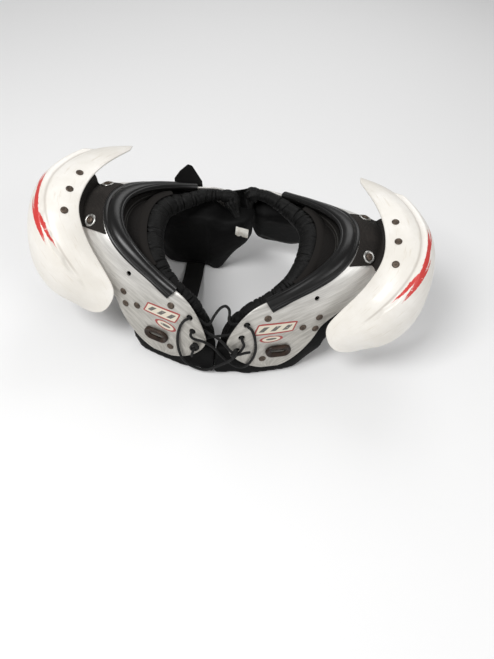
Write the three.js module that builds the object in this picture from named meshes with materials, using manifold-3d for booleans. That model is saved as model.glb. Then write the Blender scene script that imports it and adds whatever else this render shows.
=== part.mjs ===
import * as THREE from 'three';
import { mergeVertices } from 'three/addons/utils/BufferGeometryUtils.js';
import Module from 'manifold-3d';

// Football shoulder pad: two plastic shoulder arches with neck trim, laced in front
// and bridged behind, each with foam cushions, a neck roll and a cap hinged on webbing.
// Millimetres. X is the wearer's left, Y the wearer's back, Z up. It stands on its cushions.

const wasm = await Module();
wasm.setup();

// Shoulder arches
const archReach = 226;          // centre plane to the outer edge of an arch at the shoulder
const archHalfDepth = 156;      // middle of the shoulder to the front of the chest plate
const archRise = 186;           // standing surface to the inner edge at the shoulder
const plateThickness = 3;
const plateEndRound = 0.09;     // share of the arch's run taken by its rounded ends
const plateEndMargin = 0.012;   // share of the run left free past each rounded end
const plateOuterTrim = 0.07;    // share of the width cut from the outer side of each plate

// Neck trim
const trimWidth = 19;
const trimHeight = 5.4;
const trimLip = 5;              // how far the rolled lip stands inside the arch's edge
const trimSeat = 0.9;           // clear height of the trim's flange over the curved face
const trimStart = 0.25;
const trimEnd = 0.775;

// Hinge webbing and shoulder caps
const webThickness = 1.6;
const webSeat = 1.05;            // clear height of the webbing over and under curved faces
const capWidth = 100;           // hinge to the outer side of a cap
const capHalfLength = 140;      // hinge to the tip of a wing
const capDrop = 125;            // hinge to the lowest point of the front wing
const capThickness = 3;
const capStandOff = 7;          // hinge over the arch's face
const capEmboss = 4;            // the raised crescent of a cap
const capTipFront = 0.07;       // share of a cap's run taken by its rounded front tip
const capTipRear = 0.04;
const capTurn = [1.74, 0, -0.86];   // degrees that the two caps hang apart from each other
const capShift = [1.2, -7, -1.1];

// Fasteners and holes
const rivetHead = 5.2;          // radius of a rivet head
const rivetShank = 2.4;
const rivetDome = 1.8;
const washerRadius = 9;
const washerThickness = 1.2;
const eyeletRadius = 4.8;
const ventRadius = 3.6;
const fitClearance = 0.3;
const bezelLength = 38;
const bezelHeight = 22;
const bezelThickness = 4.5;
const slotLength = 22;
const slotHeight = 7;

// Soft parts
const cushionGap = 1;
const laceRelief = 5.5;         // room for the lace between plate and cushion
const shoulderPadThickness = 15;
const rollRadius = 15.5;
const padTurnTop = 25;          // degrees up and down round the roll where the lining meets it
const padTurnBottom = -35;
const laceDiameter = 4;
const knotRadius = 1.9;
const knotClearance = 1.1;      // a knot round the lace where it bends
const strapThickness = 1.6;
const innerStrapWidth = 30;
const backStrapWidth = 42;
const bridgeWidth = 62;
const bridgeReach = 42;         // half the length of the band behind
const bridgeInset = 14;         // where it leaves each rear plate
const bridgeLow = 76;
const bridgeSeat = 1;
const backStrapX = 84;
const backStrapFoot = 96;
const backStrapTop = 140;
const innerStrapPath = [[-62, -95.3, 51.2], [-62, -82, 49], [-62, -60, 42], [-62, -20, 28],
  [-63, 15, 16], [-64, 45, 7], [-65, 66, 4]];
const tagPlace = [11, 66.7, 106];

// What differs between the two halves: how the rear plate stands, and where each cushion
// ends towards the centre plane (mm), across the arch (share of its width) and at the bottom.
const sides = [
  { name: 'left', sign: 1, rearFlare: 34, rearLift: 18,
    chest: { centre: -1.8, inner: -0.12, outer: 0.97, floor: 0, thickness: 34 },
    back: { centre: 27.5, inner: 0.08, outer: 0.98, floor: 34, thickness: 34, bottom: 1.015 } },
  { name: 'right', sign: -1, rearFlare: -8, rearLift: 0,
    chest: { centre: 2.2, inner: -0.08, outer: 0.86, floor: 0, thickness: 34 },
    back: { centre: -27, inner: -0.3, outer: 0.93, floor: 0, thickness: 46, bottom: 1.1 } },
];

// Stations of an arch from the bottom of the chest plate over the shoulder to the bottom
// of the rear plate, in hundredths of archReach, archHalfDepth and archRise; bulge in mm.
const archRows = [
  // innerX innerY innerZ  outerX outerY outerZ  bulge
  [5.3, -100, 5.4, 66.4, -71.8, 5.4, 4],
  [5.6, -96, 35.6, 70.8, -66.2, 36.4, 5],
  [9.6, -92.8, 52.1, 75.1, -59.4, 49.1, 6],
  [19.9, -82.9, 72.1, 80.3, -53.7, 64, 7],
  [35.6, -69.9, 75.6, 87.1, -44.9, 75.7, 8],
  [53.9, -55.8, 87.9, 94.3, -32.1, 85, 8.9],
  [67.4, -37.6, 96.9, 98.6, -18.9, 90.9, 10.3],
  [72.1, -13, 101.1, 100.6, 0.1, 93.2, 9.8],
  [69.7, 10.7, 99.3, 99, 18.6, 90.9, 10.3],
  [59.4, 30.4, 95.9, 95.4, 33.1, 84.9, 8.9],
  [45.4, 51, 87.5, 87.5, 49.1, 75.7, 8],
  [28.7, 65.5, 80, 80.1, 62.7, 63.7, 7],
  [7.3, 75.3, 79.7, 75.3, 69.4, 50, 6],
  [5.9, 79.4, 52.9, 69.9, 75.1, 33.2, 5],
  [6.2, 84, 21.5, 64.6, 80.1, 10.8, 4],
];

// Stations of a cap from the front tip to the rear tip, measured from its hinge in
// hundredths of capWidth, capHalfLength and capDrop: inner edge, crown control, outer rim.
const capRows = [
  // innerX innerY innerZ  crownX crownY crownZ  rimX rimY rimZ
  [-35, -77, -87, -31, -79, -92, -27, -79, -98],
  [-48.3, -75, -71.6, -22.8, -86.2, -82.3, -0.8, -76.3, -106.2],
  [-23.7, -61, -46.5, 8.2, -92.3, -46.8, 24.1, -77.7, -89],
  [-6.9, -53.1, -30.3, 38, -84.5, -6.3, 54.5, -68.8, -77.7],
  [9.4, -38.8, -12.2, 67.8, -61.8, 12.1, 75.9, -55.2, -56.3],
  [17.4, -25.9, 1.2, 86.8, -34.3, 23.8, 86, -34.5, -45.3],
  [17, -1.5, 7.5, 95.2, -4.8, 30.6, 90.1, -5, -38.7],
  [10.7, 20.1, 11, 90.6, 23.6, 27.6, 81.6, 24.4, -34.1],
  [0.1, 47.3, 8.5, 64.6, 54.2, 26.9, 63.5, 51.4, -29],
  [-11.3, 72.7, 2.9, 29.1, 83.4, 14.8, 36.4, 75.9, -18],
  [-21, 94, -2, -13, 98, -2, -11, 95, -7],
];

// Centre line of a neck roll from its front end to its rear end, in hundredths of
// archReach, archHalfDepth and archRise, with its thickness as a share of rollRadius.
const rollRows = [
  // x y z girth
  [13, -73.5, 51, 0.4],
  [15.7, -72.1, 55.4, 0.62],
  [19.9, -69.6, 59.1, 0.68],
  [28.3, -65.4, 64.5, 0.72],
  [36.3, -57.7, 69.9, 0.78],
  [41.5, -50.3, 73.1, 0.84],
  [47.3, -37.2, 76.3, 0.95],
  [51.5, -15.4, 78.5, 1.04],
  [52.2, 8.3, 79.6, 1.04],
  [49.1, 27, 79.8, 0.98],
  [40.8, 38, 78.2, 0.82],
  [32.3, 48, 78, 0.68],
  [23, 58, 78, 0.6],
  [14, 62, 77.5, 0.55],
  [11, 62.5, 76.5, 0.4],
];

const fill = { black: 0x141414, web: 0x1d1d1f, plate: 0xc9c7c0, shell: 0xf1eee6 };
const finishes = {
  plate: { color: fill.plate, roughness: 0.35, metalness: 0.35 },
  shell: { color: fill.shell, roughness: 0.3, metalness: 0 },
  vinyl: { color: fill.black, roughness: 0.25, metalness: 0 },
  webbing: { color: fill.web, roughness: 0.85, metalness: 0 },
  cloth: { color: fill.black, roughness: 0.9, metalness: 0 },
  mesh: { color: 0x17171a, roughness: 0.95, metalness: 0 },
  nickel: { color: 0xcfcfcb, roughness: 0.3, metalness: 1 },
  bronze: { color: 0x4a3f35, roughness: 0.5, metalness: 0.8 },
  bezel: { color: 0x33231a, roughness: 0.4, metalness: 0 },
  lace: { color: 0x121212, roughness: 0.8, metalness: 0 },
  tag: { color: 0xe9e6dc, roughness: 0.9, metalness: 0 },
};

const share = (value, size) => (value / 100) * size;
const mix = (a, b, w) => a + (b - a) * w;
const clamp = (x, low, high) => Math.min(high, Math.max(low, x));
const smooth = (x) => {
  const w = clamp(x, 0, 1);
  return w * w * (3 - 2 * w);
};

// Smooth curve that the rows of a table steer (a uniform cubic B-spline that starts and ends
// at its end rows), at a place measured in rows.
function rowAt(rows, place) {
  const last = rows.length - 1;
  const i = clamp(Math.floor(place), 0, last - 1);
  const t = place - i;
  const weights = [(1 - t) ** 3, 3 * t ** 3 - 6 * t ** 2 + 4, -3 * t ** 3 + 3 * t ** 2 + 3 * t + 1,
    t ** 3];
  const b = rows[i];
  const c = rows[i + 1];
  return b.map((_, k) => {
    const a = i > 0 ? rows[i - 1][k] : 2 * b[k] - c[k];
    const d = i < last - 1 ? rows[i + 2][k] : 2 * c[k] - b[k];
    return (weights[0] * a + weights[1] * b[k] + weights[2] * c[k] + weights[3] * d) / 6;
  });
}

const pointOf = (x, y, z) => new THREE.Vector3(
  share(x, archReach), share(y, archHalfDepth), share(z, archRise));

// Where the rear half of an arch swings out and up, as it stands in use.
function settle(point, along, side) {
  const weight = smooth((along - 0.5) / 0.45) * (1 - point.z / archRise);
  point.y += side.rearFlare * weight;
  point.z += side.rearLift * weight;
  return point;
}

function archSkin(side, u, v) {
  const place = u * (archRows.length - 1);
  const row = rowAt(archRows, place);
  const inner = pointOf(row[0], row[1], row[2]);
  const outer = pointOf(row[3], row[4], row[5]);
  const ahead = rowAt(archRows, place + 0.05);
  const behind = rowAt(archRows, place - 0.05);
  const run = pointOf(...[0, 1, 2].map((k) => ahead[k] + ahead[k + 3] - behind[k] - behind[k + 3]));
  const across = outer.clone().sub(inner);
  const out = across.clone().cross(run).normalize();
  const point = inner.addScaledVector(across, v).addScaledVector(out, row[6] * 4 * v * (1 - v));
  return settle(point, u, side);
}

// Point of an arch's top face at share u of its run and share v of its width, raised by h,
// with its outward normal; the right side is the mirror image.
function onArch(side, u, v, h = 0) {
  const step = 1e-3;
  const run = archSkin(side, u + step, v).sub(archSkin(side, u - step, v));
  const across = archSkin(side, u, v + step).sub(archSkin(side, u, v - step));
  const normal = across.clone().cross(run).normalize();
  const point = archSkin(side, u, v).addScaledVector(normal, h);
  const place = { point, normal, run: run.normalize(), across: across.normalize() };
  for (const vector of Object.values(place)) vector.x *= side.sign;
  return place;
}

const archWidth = (side, u) => archSkin(side, u, 0).distanceTo(archSkin(side, u, 1));

// Inner and outer limits of a plate at share u of the run, rounded at both ends.
function plateLimits(u) {
  const fromEnd = Math.min(u, 1 - u);
  const s = clamp((fromEnd - plateEndMargin) / plateEndRound, 0, 1);
  const half = Math.sqrt(1 - (1 - s) ** 2);
  const outer = 0.5 - plateOuterTrim + plateOuterTrim * smooth((fromEnd - 0.12) / 0.13);
  return [0.5 - 0.5 * half, 0.5 + outer * half];
}

function bodyFrom(points, faces) {
  const geometry = new THREE.BufferGeometry();
  geometry.setAttribute('position', new THREE.Float32BufferAttribute(
    points.flatMap((p) => [p.x, p.y, p.z]), 3));
  let volume = 0;
  for (const [a, b, c] of faces) volume += points[a].dot(points[b].clone().cross(points[c]));
  geometry.setIndex((volume < 0 ? faces.map(([a, b, c]) => [a, c, b]) : faces).flat());
  return geometry;
}

// Closed shell between two matching grids of points.
function shellSolid(top, bottom) {
  const rows = top.length;
  const columns = top[0].length;
  const at = (layer, i, j) => (layer * rows + i) * columns + j;
  const faces = [];
  const quad = (a, b, c, d) => faces.push([a, b, c], [a, c, d]);
  for (let i = 0; i < rows - 1; i++) {
    for (let j = 0; j < columns - 1; j++) {
      quad(at(0, i, j), at(0, i + 1, j), at(0, i + 1, j + 1), at(0, i, j + 1));
      quad(at(1, i, j), at(1, i, j + 1), at(1, i + 1, j + 1), at(1, i + 1, j));
    }
    quad(at(0, i + 1, 0), at(0, i, 0), at(1, i, 0), at(1, i + 1, 0));
    const edge = columns - 1;
    quad(at(0, i, edge), at(0, i + 1, edge), at(1, i + 1, edge), at(1, i, edge));
  }
  for (let j = 0; j < columns - 1; j++) {
    quad(at(0, 0, j), at(0, 0, j + 1), at(1, 0, j + 1), at(1, 0, j));
    const end = rows - 1;
    quad(at(0, end, j + 1), at(0, end, j), at(1, end, j), at(1, end, j + 1));
  }
  return bodyFrom([...top.flat(), ...bottom.flat()], faces);
}

// Closed body through a row of rings, with a flat fan at each end.
function ringSolid(rings) {
  const count = rings[0].length;
  const points = rings.flat();
  const faces = [];
  for (let i = 0; i < rings.length - 1; i++) {
    for (let j = 0; j < count; j++) {
      const k = (j + 1) % count;
      const [a, b, c, d] = [i * count + j, (i + 1) * count + j, (i + 1) * count + k, i * count + k];
      faces.push([a, b, c], [a, c, d]);
    }
  }
  for (const end of [0, rings.length - 1]) {
    const middle = points.length;
    points.push(rings[end].reduce((sum, p) => sum.add(p), new THREE.Vector3())
      .divideScalar(count));
    for (let j = 0; j < count; j++) {
      const pair = [end * count + j, end * count + (j + 1) % count];
      faces.push(end === 0 ? [middle, pair[0], pair[1]] : [middle, pair[1], pair[0]]);
    }
  }
  return bodyFrom(points, faces);
}

const steps = (count, pick) => Array.from({ length: count + 1 }, (_, i) => pick(i / count));

function solidOf(geometry) {
  const plain = geometry.clone();
  plain.deleteAttribute('normal');
  plain.deleteAttribute('uv');
  const merged = mergeVertices(plain, 1e-4);
  return new wasm.Manifold(new wasm.Mesh({
    numProp: 3,
    vertProperties: new Float32Array(merged.attributes.position.array),
    triVerts: new Uint32Array(merged.index.array),
  }));
}

function geometryOf(solid) {
  const mesh = solid.getMesh();
  const geometry = new THREE.BufferGeometry();
  geometry.setAttribute('position', new THREE.BufferAttribute(mesh.vertProperties, 3));
  geometry.setIndex(new THREE.BufferAttribute(mesh.triVerts, 1));
  return geometry;
}

function cutAll(geometry, cutters) {
  let solid = solidOf(geometry);
  for (const cutter of cutters) solid = solid.subtract(solidOf(cutter));
  return geometryOf(solid);
}

const group = new THREE.Group();

function addPart(name, geometry, finish) {
  const mesh = new THREE.Mesh(geometry, new THREE.MeshStandardMaterial(finishes[finish]));
  mesh.name = name;
  group.add(mesh);
}

// Turns a shape made along +Y so that +Y follows a normal and +X a run, at a point.
function seat(geometry, point, normal, run) {
  const y = normal.clone().normalize();
  const z = run.clone().cross(y).normalize();
  const x = y.clone().cross(z).normalize();
  const basis = new THREE.Matrix4().makeBasis(x, y, z).setPosition(point);
  return geometry.applyMatrix4(basis);
}

const drill = (radius, place, sidesOfHole = 10) => seat(
  new THREE.CylinderGeometry(radius, radius, 24, sidesOfHole), place.point, place.normal, place.run);

// Places on an arch's face, as shares of its run and width.
const lacePlaces = [[0.163, 0.073], [0.116, 0.104], [0.069, 0.107]];
const ventPlace = [0.268, 0.468];
const bezelPlace = [0.06, 0.512];
const rivetPlaces = [[0.141, 0.641], [0.127, 0.788], [0.178, 0.738], [0.187, 0.21], [0.038, 0.381]];
const webRivetPlaces = [['front', 0.422, 0.585], ['rear', 0.58, 0.5]];
const webStart = 0.395;
const webEnd = 0.6;

// The webbing's own length: shares where it leaves the plate and meets the cap, and the
// places on both where it does so.
const webLeaves = 0.5;
const webMeets = 0.7;
const webLastV = 0.73;
const webFirstR = 0.02;
const webLastR = 0.2;

function shoulderArch(side) {
  const uAt = (w) => {
    const low = plateEndMargin + 0.002;
    const bow = 0.5 - 0.5 * Math.cos(Math.PI * w);
    return mix(low, 1 - low, mix(w, bow, 0.55));
  };
  const face = (h) => steps(26, (w) => {
    const u = uAt(w);
    const [low, high] = plateLimits(u);
    return steps(5, (k) => onArch(side, u, mix(low, high, k), h).point);
  });
  const holes = [
    ...lacePlaces.map(([u, v]) => drill(eyeletRadius, onArch(side, u, v))),
    drill(ventRadius, onArch(side, ...ventPlace), 8),
    ...webRivetPlaces.map(([, u, v]) => drill(rivetShank + fitClearance, onArch(side, u, v), 8)),
  ];
  const belt = onArch(side, ...bezelPlace);
  holes.push(seat(new THREE.BoxGeometry(slotLength, 24, slotHeight),
    belt.point, belt.normal, levelRun(belt)));
  addPart(`${side.name}_shoulder_arch`, cutAll(shellSolid(face(0), face(-plateThickness)), holes),
    'plate');
}

// Level direction within a face, for what is set straight on it.
const levelRun = (place) => new THREE.Vector3(0, 0, 1).cross(place.normal).normalize();

// Point at distance a from the inner edge, square to that edge, raised by h.
function squareFromEdge(side, u, a, h) {
  const step = 1e-3;
  const edge = onArch(side, u, 0);
  const speed = onArch(side, u + step, 0).point.distanceTo(onArch(side, u - step, 0).point)
    / (2 * step);
  const lean = edge.run.dot(edge.across);
  const reach = a / Math.sqrt(1 - lean * lean);
  return onArch(side, u - reach * lean / speed, reach / archWidth(side, u), h).point;
}

function neckTrim(side) {
  const top = plateThickness;
  // Profile in mm: distance from the arch's edge, height over its face.
  const profile = [
    [-trimLip, -top - 2], [-trimLip - 1, -1], [-trimLip, 0.6 * trimHeight],
    [-0.5 * trimLip, 0.97 * trimHeight], [0.5, trimHeight], [0.36 * trimWidth, 0.9 * trimHeight],
    [0.66 * trimWidth, 0.72 * trimHeight], [0.74 * trimWidth, 0.34 * trimHeight],
    [0.96 * trimWidth, 0.42 * trimHeight],
    [trimWidth, trimSeat], [0.66 * trimWidth, trimSeat], [0.33 * trimWidth, trimSeat],
    [-1, trimSeat], [-1, -top - 2],
  ];
  const rings = steps(20, (w) => {
    const u = mix(trimStart, trimEnd, w);
    return profile.map(([a, h]) => squareFromEdge(side, u, a, h));
  });
  addPart(`${side.name}_neck_trim`, ringSolid(rings), 'vinyl');
}

// Point of a cap's top face at share t from front tip to rear tip and share r from its
// inner edge to its rim, raised by h. A raised crescent fills the outer part.
function capSkin(t, r) {
  const row = rowAt(capRows, t * (capRows.length - 1));
  const spot = (k) => new THREE.Vector3(share(row[k], capWidth),
    share(row[k + 1], capHalfLength), share(row[k + 2], capDrop));
  return spot(0).multiplyScalar((1 - r) ** 2).addScaledVector(spot(3), 2 * r * (1 - r))
    .addScaledVector(spot(6), r * r);
}

function onCap(side, t, r, h = 0) {
  const step = 1e-3;
  const run = capSkin(t + step, r).sub(capSkin(t - step, r));
  const across = capSkin(t, r + step).sub(capSkin(t, r - step));
  const normal = across.clone().cross(run).normalize();
  const raised = capEmboss * smooth((r - 0.36) / 0.14) * smooth((t - 0.2) / 0.07)
    * smooth((0.86 - t) / 0.07);
  const point = capSkin(t, r).addScaledVector(normal, h + raised);
  const turn = new THREE.Quaternion().setFromEuler(new THREE.Euler(
    ...capTurn.map((angle) => THREE.MathUtils.degToRad(angle * side.sign))));
  const shift = new THREE.Vector3(...capShift).multiplyScalar(side.sign);
  const hinge = onArch({ ...side, sign: 1 }, 0.5, 0.5, capStandOff).point;
  point.applyQuaternion(turn).add(hinge).add(shift);
  const place = { point, normal: normal.applyQuaternion(turn), run: run.applyQuaternion(turn) };
  for (const vector of Object.values(place)) vector.x *= side.sign;
  return place;
}

const capRivetPlaces = [[0.453, 0.142], [0.561, 0.108], [0.662, 0.102]];

function shoulderCap(side) {
  const face = (h) => steps(20, (w) => {
    const t = mix(0.004, 0.996, mix(w, 0.5 - 0.5 * Math.cos(Math.PI * w), 0.2));
    const fromTip = clamp(Math.min(t / capTipFront, (1 - t) / capTipRear), 0, 1);
    const half = 0.5 * Math.sqrt(1 - (1 - fromTip) ** 2);
    return steps(6, (k) => onCap(side, t, mix(0.5 - half, 0.5 + half, k), h).point);
  });
  const holes = capRivetPlaces.map(([t, r]) => drill(rivetShank + fitClearance,
    onCap(side, t, r), 8));
  addPart(`${side.name}_shoulder_cap`, cutAll(shellSolid(face(0), face(-capThickness)), holes),
    'shell');
}

// Webbing that is riveted on the arch beside the trim, rises from it and is riveted
// again under the cap.
function webPoint(side, w, k, h) {
  const u = mix(webStart, webEnd, k);
  const t = mix(0.4, 0.7, k);
  const edge = onArch(side, u, 0);
  const square = Math.sqrt(1 - edge.run.dot(edge.across) ** 2);
  const first = (trimWidth + 2 * fitClearance) / (archWidth(side, u) * square);
  const onPlate = (v) => onArch(side, u, v, webSeat + h).point;
  const underCap = (r) => onCap(side, t, r, h - capThickness - webSeat - webThickness).point;
  if (w <= webLeaves) return onPlate(mix(first, webLastV, w / webLeaves));
  if (w >= webMeets) return underCap(mix(webFirstR, webLastR, (w - webMeets) / (1 - webMeets)));
  const from = onPlate(webLastV);
  const to = underCap(webFirstR);
  const reach = from.distanceTo(to) / 3;
  const leave = from.clone().sub(onPlate(webLastV - 0.02)).setLength(reach).add(from);
  const meet = to.clone().sub(underCap(webFirstR + 0.02)).setLength(reach).add(to);
  const curve = new THREE.CubicBezierCurve3(from, leave, meet, to);
  return curve.getPoint((w - webLeaves) / (webMeets - webLeaves));
}

function hingeWeb(side) {
  const face = (h) => steps(10, (w) => steps(6, (k) => webPoint(side, w, k, h)));
  const holes = [
    ...webRivetPlaces.map(([, u, v]) => drill(rivetShank + fitClearance, onArch(side, u, v), 8)),
    ...capRivetPlaces.map(([t, r]) => drill(rivetShank + fitClearance, onCap(side, t, r), 8)),
  ];
  addPart(`${side.name}_hinge_web`, cutAll(shellSolid(face(webThickness), face(0)), holes),
    'webbing');
}

// Turned rivet: domed head on top, shank, and a flat tail below the stack that it holds.
function rivet(stack, head, dome, tail) {
  const profile = [[0, -stack - tail], [rivetHead * 0.8, -stack - tail],
    [rivetHead * 0.8, -stack], [rivetShank, -stack], [rivetShank, 0], [head, 0],
    [head * 0.9, dome * 0.6], [0, dome * 1.15]];
  return turned(profile);
}

const turned = (profile) => new THREE.LatheGeometry(
  profile.map(([x, y]) => new THREE.Vector2(x, y)), 8);

function ringGeometry(inner, outer, thickness) {
  const profile = [[inner, 0], [outer, 0], [outer * 0.94, thickness], [inner, thickness],
    [inner, 0]];
  return new THREE.LatheGeometry(profile.map(([x, y]) => new THREE.Vector2(x, y)), 10);
}

const fused = (geometry) => geometryOf(solidOf(geometry));

function webRivets(side) {
  const onWeb = webSeat + webThickness + fitClearance;
  for (const [end, u, v] of webRivetPlaces) {
    const place = onArch(side, u, v, onWeb);
    const washer = ringGeometry(rivetShank + fitClearance, washerRadius, washerThickness);
    addPart(`${side.name}_${end}_washer`,
      fused(seat(washer, place.point, place.normal, place.run)), 'nickel');
    const lift = washerThickness + fitClearance;
    const stack = lift + onWeb + plateThickness + 2.4 * webSeat;
    const top = onArch(side, u, v, onWeb + lift);
    addPart(`${side.name}_${end}_rivet`,
      fused(seat(rivet(stack, rivetHead, rivetDome, 1), top.point, top.normal, top.run)), 'bronze');
  }
}

function capRivets(side) {
  capRivetPlaces.forEach(([t, r], index) => {
    const place = onCap(side, t, r, fitClearance);
    const stack = fitClearance + capThickness + webThickness + 2 * webSeat;
    addPart(`${side.name}_cap_rivet_${index + 1}`,
      fused(seat(rivet(stack, rivetHead, 1.2, 1), place.point, place.normal, place.run)), 'bronze');
  });
}

function plateRivets(side) {
  const profile = [[0, 0], [rivetHead, 0], [rivetHead * 0.9, 0.6 * rivetDome], [0, rivetDome]];
  rivetPlaces.forEach(([u, v], index) => {
    const place = onArch(side, u, v, fitClearance);
    addPart(`${side.name}_plate_rivet_${index + 1}`,
      fused(seat(turned(profile), place.point, place.normal, place.run)), 'bronze');
  });
}

function roundBar(length, height) {
  const r = height / 2;
  const shape = new THREE.Shape();
  shape.absarc(length / 2 - r, 0, r, -Math.PI / 2, Math.PI / 2, false);
  shape.absarc(-length / 2 + r, 0, r, Math.PI / 2, 1.5 * Math.PI, false);
  return shape;
}

function beltBezel(side) {
  const shape = roundBar(bezelLength, bezelHeight);
  shape.holes.push(roundBar(slotLength, slotHeight));
  const plate = new THREE.ExtrudeGeometry(shape, {
    depth: bezelThickness, bevelEnabled: false, curveSegments: 4, steps: 1 });
  plate.rotateX(-Math.PI / 2);
  const place = onArch(side, ...bezelPlace, fitClearance + 0.5);
  addPart(`${side.name}_belt_bezel`,
    fused(seat(plate, place.point, place.normal, levelRun(place))), 'bezel');
}

// Point under or over an arch, also past the ends of its run.
function pastArch(side, u, v, h) {
  const end = clamp(u, 0, 1);
  const step = 1e-3;
  const place = onArch(side, end, v, h);
  const speed = archSkin(side, end + step, v).distanceTo(archSkin(side, end - step, v))
    / (2 * step);
  return place.point.addScaledVector(place.run, (u - end) * speed);
}

// Share of the run where each cushion starts and ends, for a share of the arch's width.
const chestLimits = (v) => [-0.06 + 0.075 * smooth((v - 0.5) / 0.5) ** 1.5,
  mix(0.058, 0.285, smooth(v / 0.5))];
const backLimits = (v, bottom) => [mix(0.9, 0.715, smooth(v / 0.4)),
  bottom - 0.07 * smooth((v - 0.55) / 0.45) - 0.12 * smooth((0.3 - v) / 0.56)];

// Foam cushion under an arch: rings across its width, each a rounded bar along the run,
// cut level at its floor and upright at its centre side.
function cushion(side, name, shape, limits) {
  const squareness = 0.42;
  const ringSides = 12;
  const spread = 18;
  const round = (x) => Math.sign(x) * Math.abs(x) ** squareness;
  const rings = steps(10, (w) => {
    const v = mix(shape.inner, shape.outer, w);
    const [low, high] = limits(v, shape.bottom);
    const end = (1 - Math.abs(2 * w - 1) ** 6) ** 0.5;
    const half = ((high - low) / 2) * mix(0.86, 1, end);
    const thickness = shape.thickness * mix(0.35, 1, end);
    const gap = cushionGap + laceRelief * smooth((0.24 - v) / 0.08);
    return Array.from({ length: ringSides }, (_, j) => {
      const angle = (2 * Math.PI * j) / ringSides;
      const u = (low + high) / 2 + half * round(Math.cos(angle));
      const depth = gap + thickness * (0.5 - 0.5 * round(Math.sin(angle)));
      const point = pastArch(side, u, v, -plateThickness - depth);
      point.z = Math.max(point.z, shape.floor);
      point.x = side.sign * Math.max(side.sign * point.x, shape.centre + spread * w);
      return point;
    });
  });
  addPart(`${side.name}_${name}`, ringSolid(rings), 'cloth');
}

// Centre and thickness of a neck roll at a share of its run.
function rollAt(side, w) {
  const row = rowAt(rollRows, w * (rollRows.length - 1));
  const point = settle(pointOf(row[0], row[1], row[2]), w, side);
  point.x *= side.sign;
  return { point, girth: row[3] * rollRadius };
}

function neckRoll(side) {
  const ringSides = 8;
  const step = 1e-3;
  const rings = steps(22, (w) => {
    const { point, girth } = rollAt(side, w);
    const run = rollAt(side, w + step).point.sub(rollAt(side, w - step).point).normalize();
    const level = new THREE.Vector3(0, 0, 1).cross(run).normalize();
    const rise = run.clone().cross(level);
    return Array.from({ length: ringSides }, (_, j) => {
      const angle = (2 * Math.PI * j) / ringSides;
      return point.clone().addScaledVector(level, girth * Math.cos(angle))
        .addScaledVector(rise, girth * Math.sin(angle));
    });
  });
  addPart(`${side.name}_neck_roll`, ringSolid(rings), 'cloth');
}

// Padded mesh lining: flat under the arch, then down and inward to the neck roll's flank.
function shoulderPad(side) {
  const padStart = 0.35;
  const padEnd = 0.68;
  const underPlate = [40, 22, 3];
  const top = -plateThickness - 4;
  const step = 1e-3;
  const section = (w, h, turn) => {
    const u = mix(padStart, padEnd, w);
    const flat = underPlate.map((d) => onArch(side, u, d / archWidth(side, u), h).point);
    const roll = rollAt(side, u);
    const run = rollAt(side, u + step).point.sub(rollAt(side, u - step).point).normalize();
    const outward = onArch(side, u, 0, top).point.sub(roll.point);
    outward.addScaledVector(run, -outward.dot(run)).normalize();
    outward.applyAxisAngle(run, THREE.MathUtils.degToRad(turn * side.sign));
    const flank = roll.point.clone().addScaledVector(outward, 1.155 * roll.girth + 3.2);
    const last = flat[flat.length - 1];
    return [...flat, last.clone().lerp(flank, 0.5), flank];
  };
  const face = (h, turn) => steps(12, (w) => section(1 - w, h, turn));
  addPart(`${side.name}_shoulder_pad`,
    shellSolid(face(top, padTurnTop), face(top - shoulderPadThickness, padTurnBottom)), 'mesh');
}

// Place on a rear plate's outer face at a given distance x from the centre plane and height z.
function onRear(side, x, z, h) {
  let [u, v] = [0.9, 0.3];
  const step = 1e-3;
  for (let pass = 0; pass < 8; pass++) {
    const at = archSkin(side, u, v);
    const du = archSkin(side, u + step, v).sub(at).divideScalar(step);
    const dv = archSkin(side, u, v + step).sub(at).divideScalar(step);
    const det = du.x * dv.z - dv.x * du.z;
    u += ((x - at.x) * dv.z - (z - at.z) * dv.x) / det;
    v += ((z - at.z) * du.x - (x - at.x) * du.z) / det;
  }
  return onArch(side, u, v, h).point;
}

// Band of webbing or cloth: a centre line, its width direction and its thickness direction.
function band(name, line, width, thickness, finish) {
  const face = (h) => line.map(({ at, wide, flat }) => [-0.5, 0.5].map((k) => at.clone()
    .addScaledVector(wide, k * width).addScaledVector(flat, h)));
  addPart(name, shellSolid(face(thickness / 2), face(-thickness / 2)), finish);
}

const vector = (x, y, z) => new THREE.Vector3(x, y, z);

// Strap between the chest cushion and the back cushion on the right, inside the body space.
function innerStrap() {
  const path = new THREE.CatmullRomCurve3(innerStrapPath.map((p) => vector(...p)));
  const line = steps(14, (w) => {
    const run = path.getTangent(w);
    return { at: path.getPoint(w), wide: vector(1, 0, 0), flat: vector(1, 0, 0).cross(run) };
  });
  band('inner_strap', line, innerStrapWidth, strapThickness, 'webbing');
}

// Webbing on the right rear plate whose loose top stands up as a folded peak.
function backStrap(side) {
  const peak = [[-0.5, 6], [-0.12, 34], [0.02, 36], [0.3, 24], [0.5, 10]];
  const clear = fitClearance + trimSeat + trimHeight;
  const face = (h) => peak.map(([k, rise]) => {
    const x = backStrapX + k * backStrapWidth;
    const top = onRear(side, x, backStrapTop, clear + h);
    return [...steps(4, (w) => onRear(side, x, mix(backStrapFoot, backStrapTop, w),
      mix(fitClearance, clear, smooth(w / 0.4)) + h)), top.clone().add(vector(0, -2, rise))];
  });
  addPart('back_strap', shellSolid(face(strapThickness), face(0)), 'webbing');
}

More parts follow.
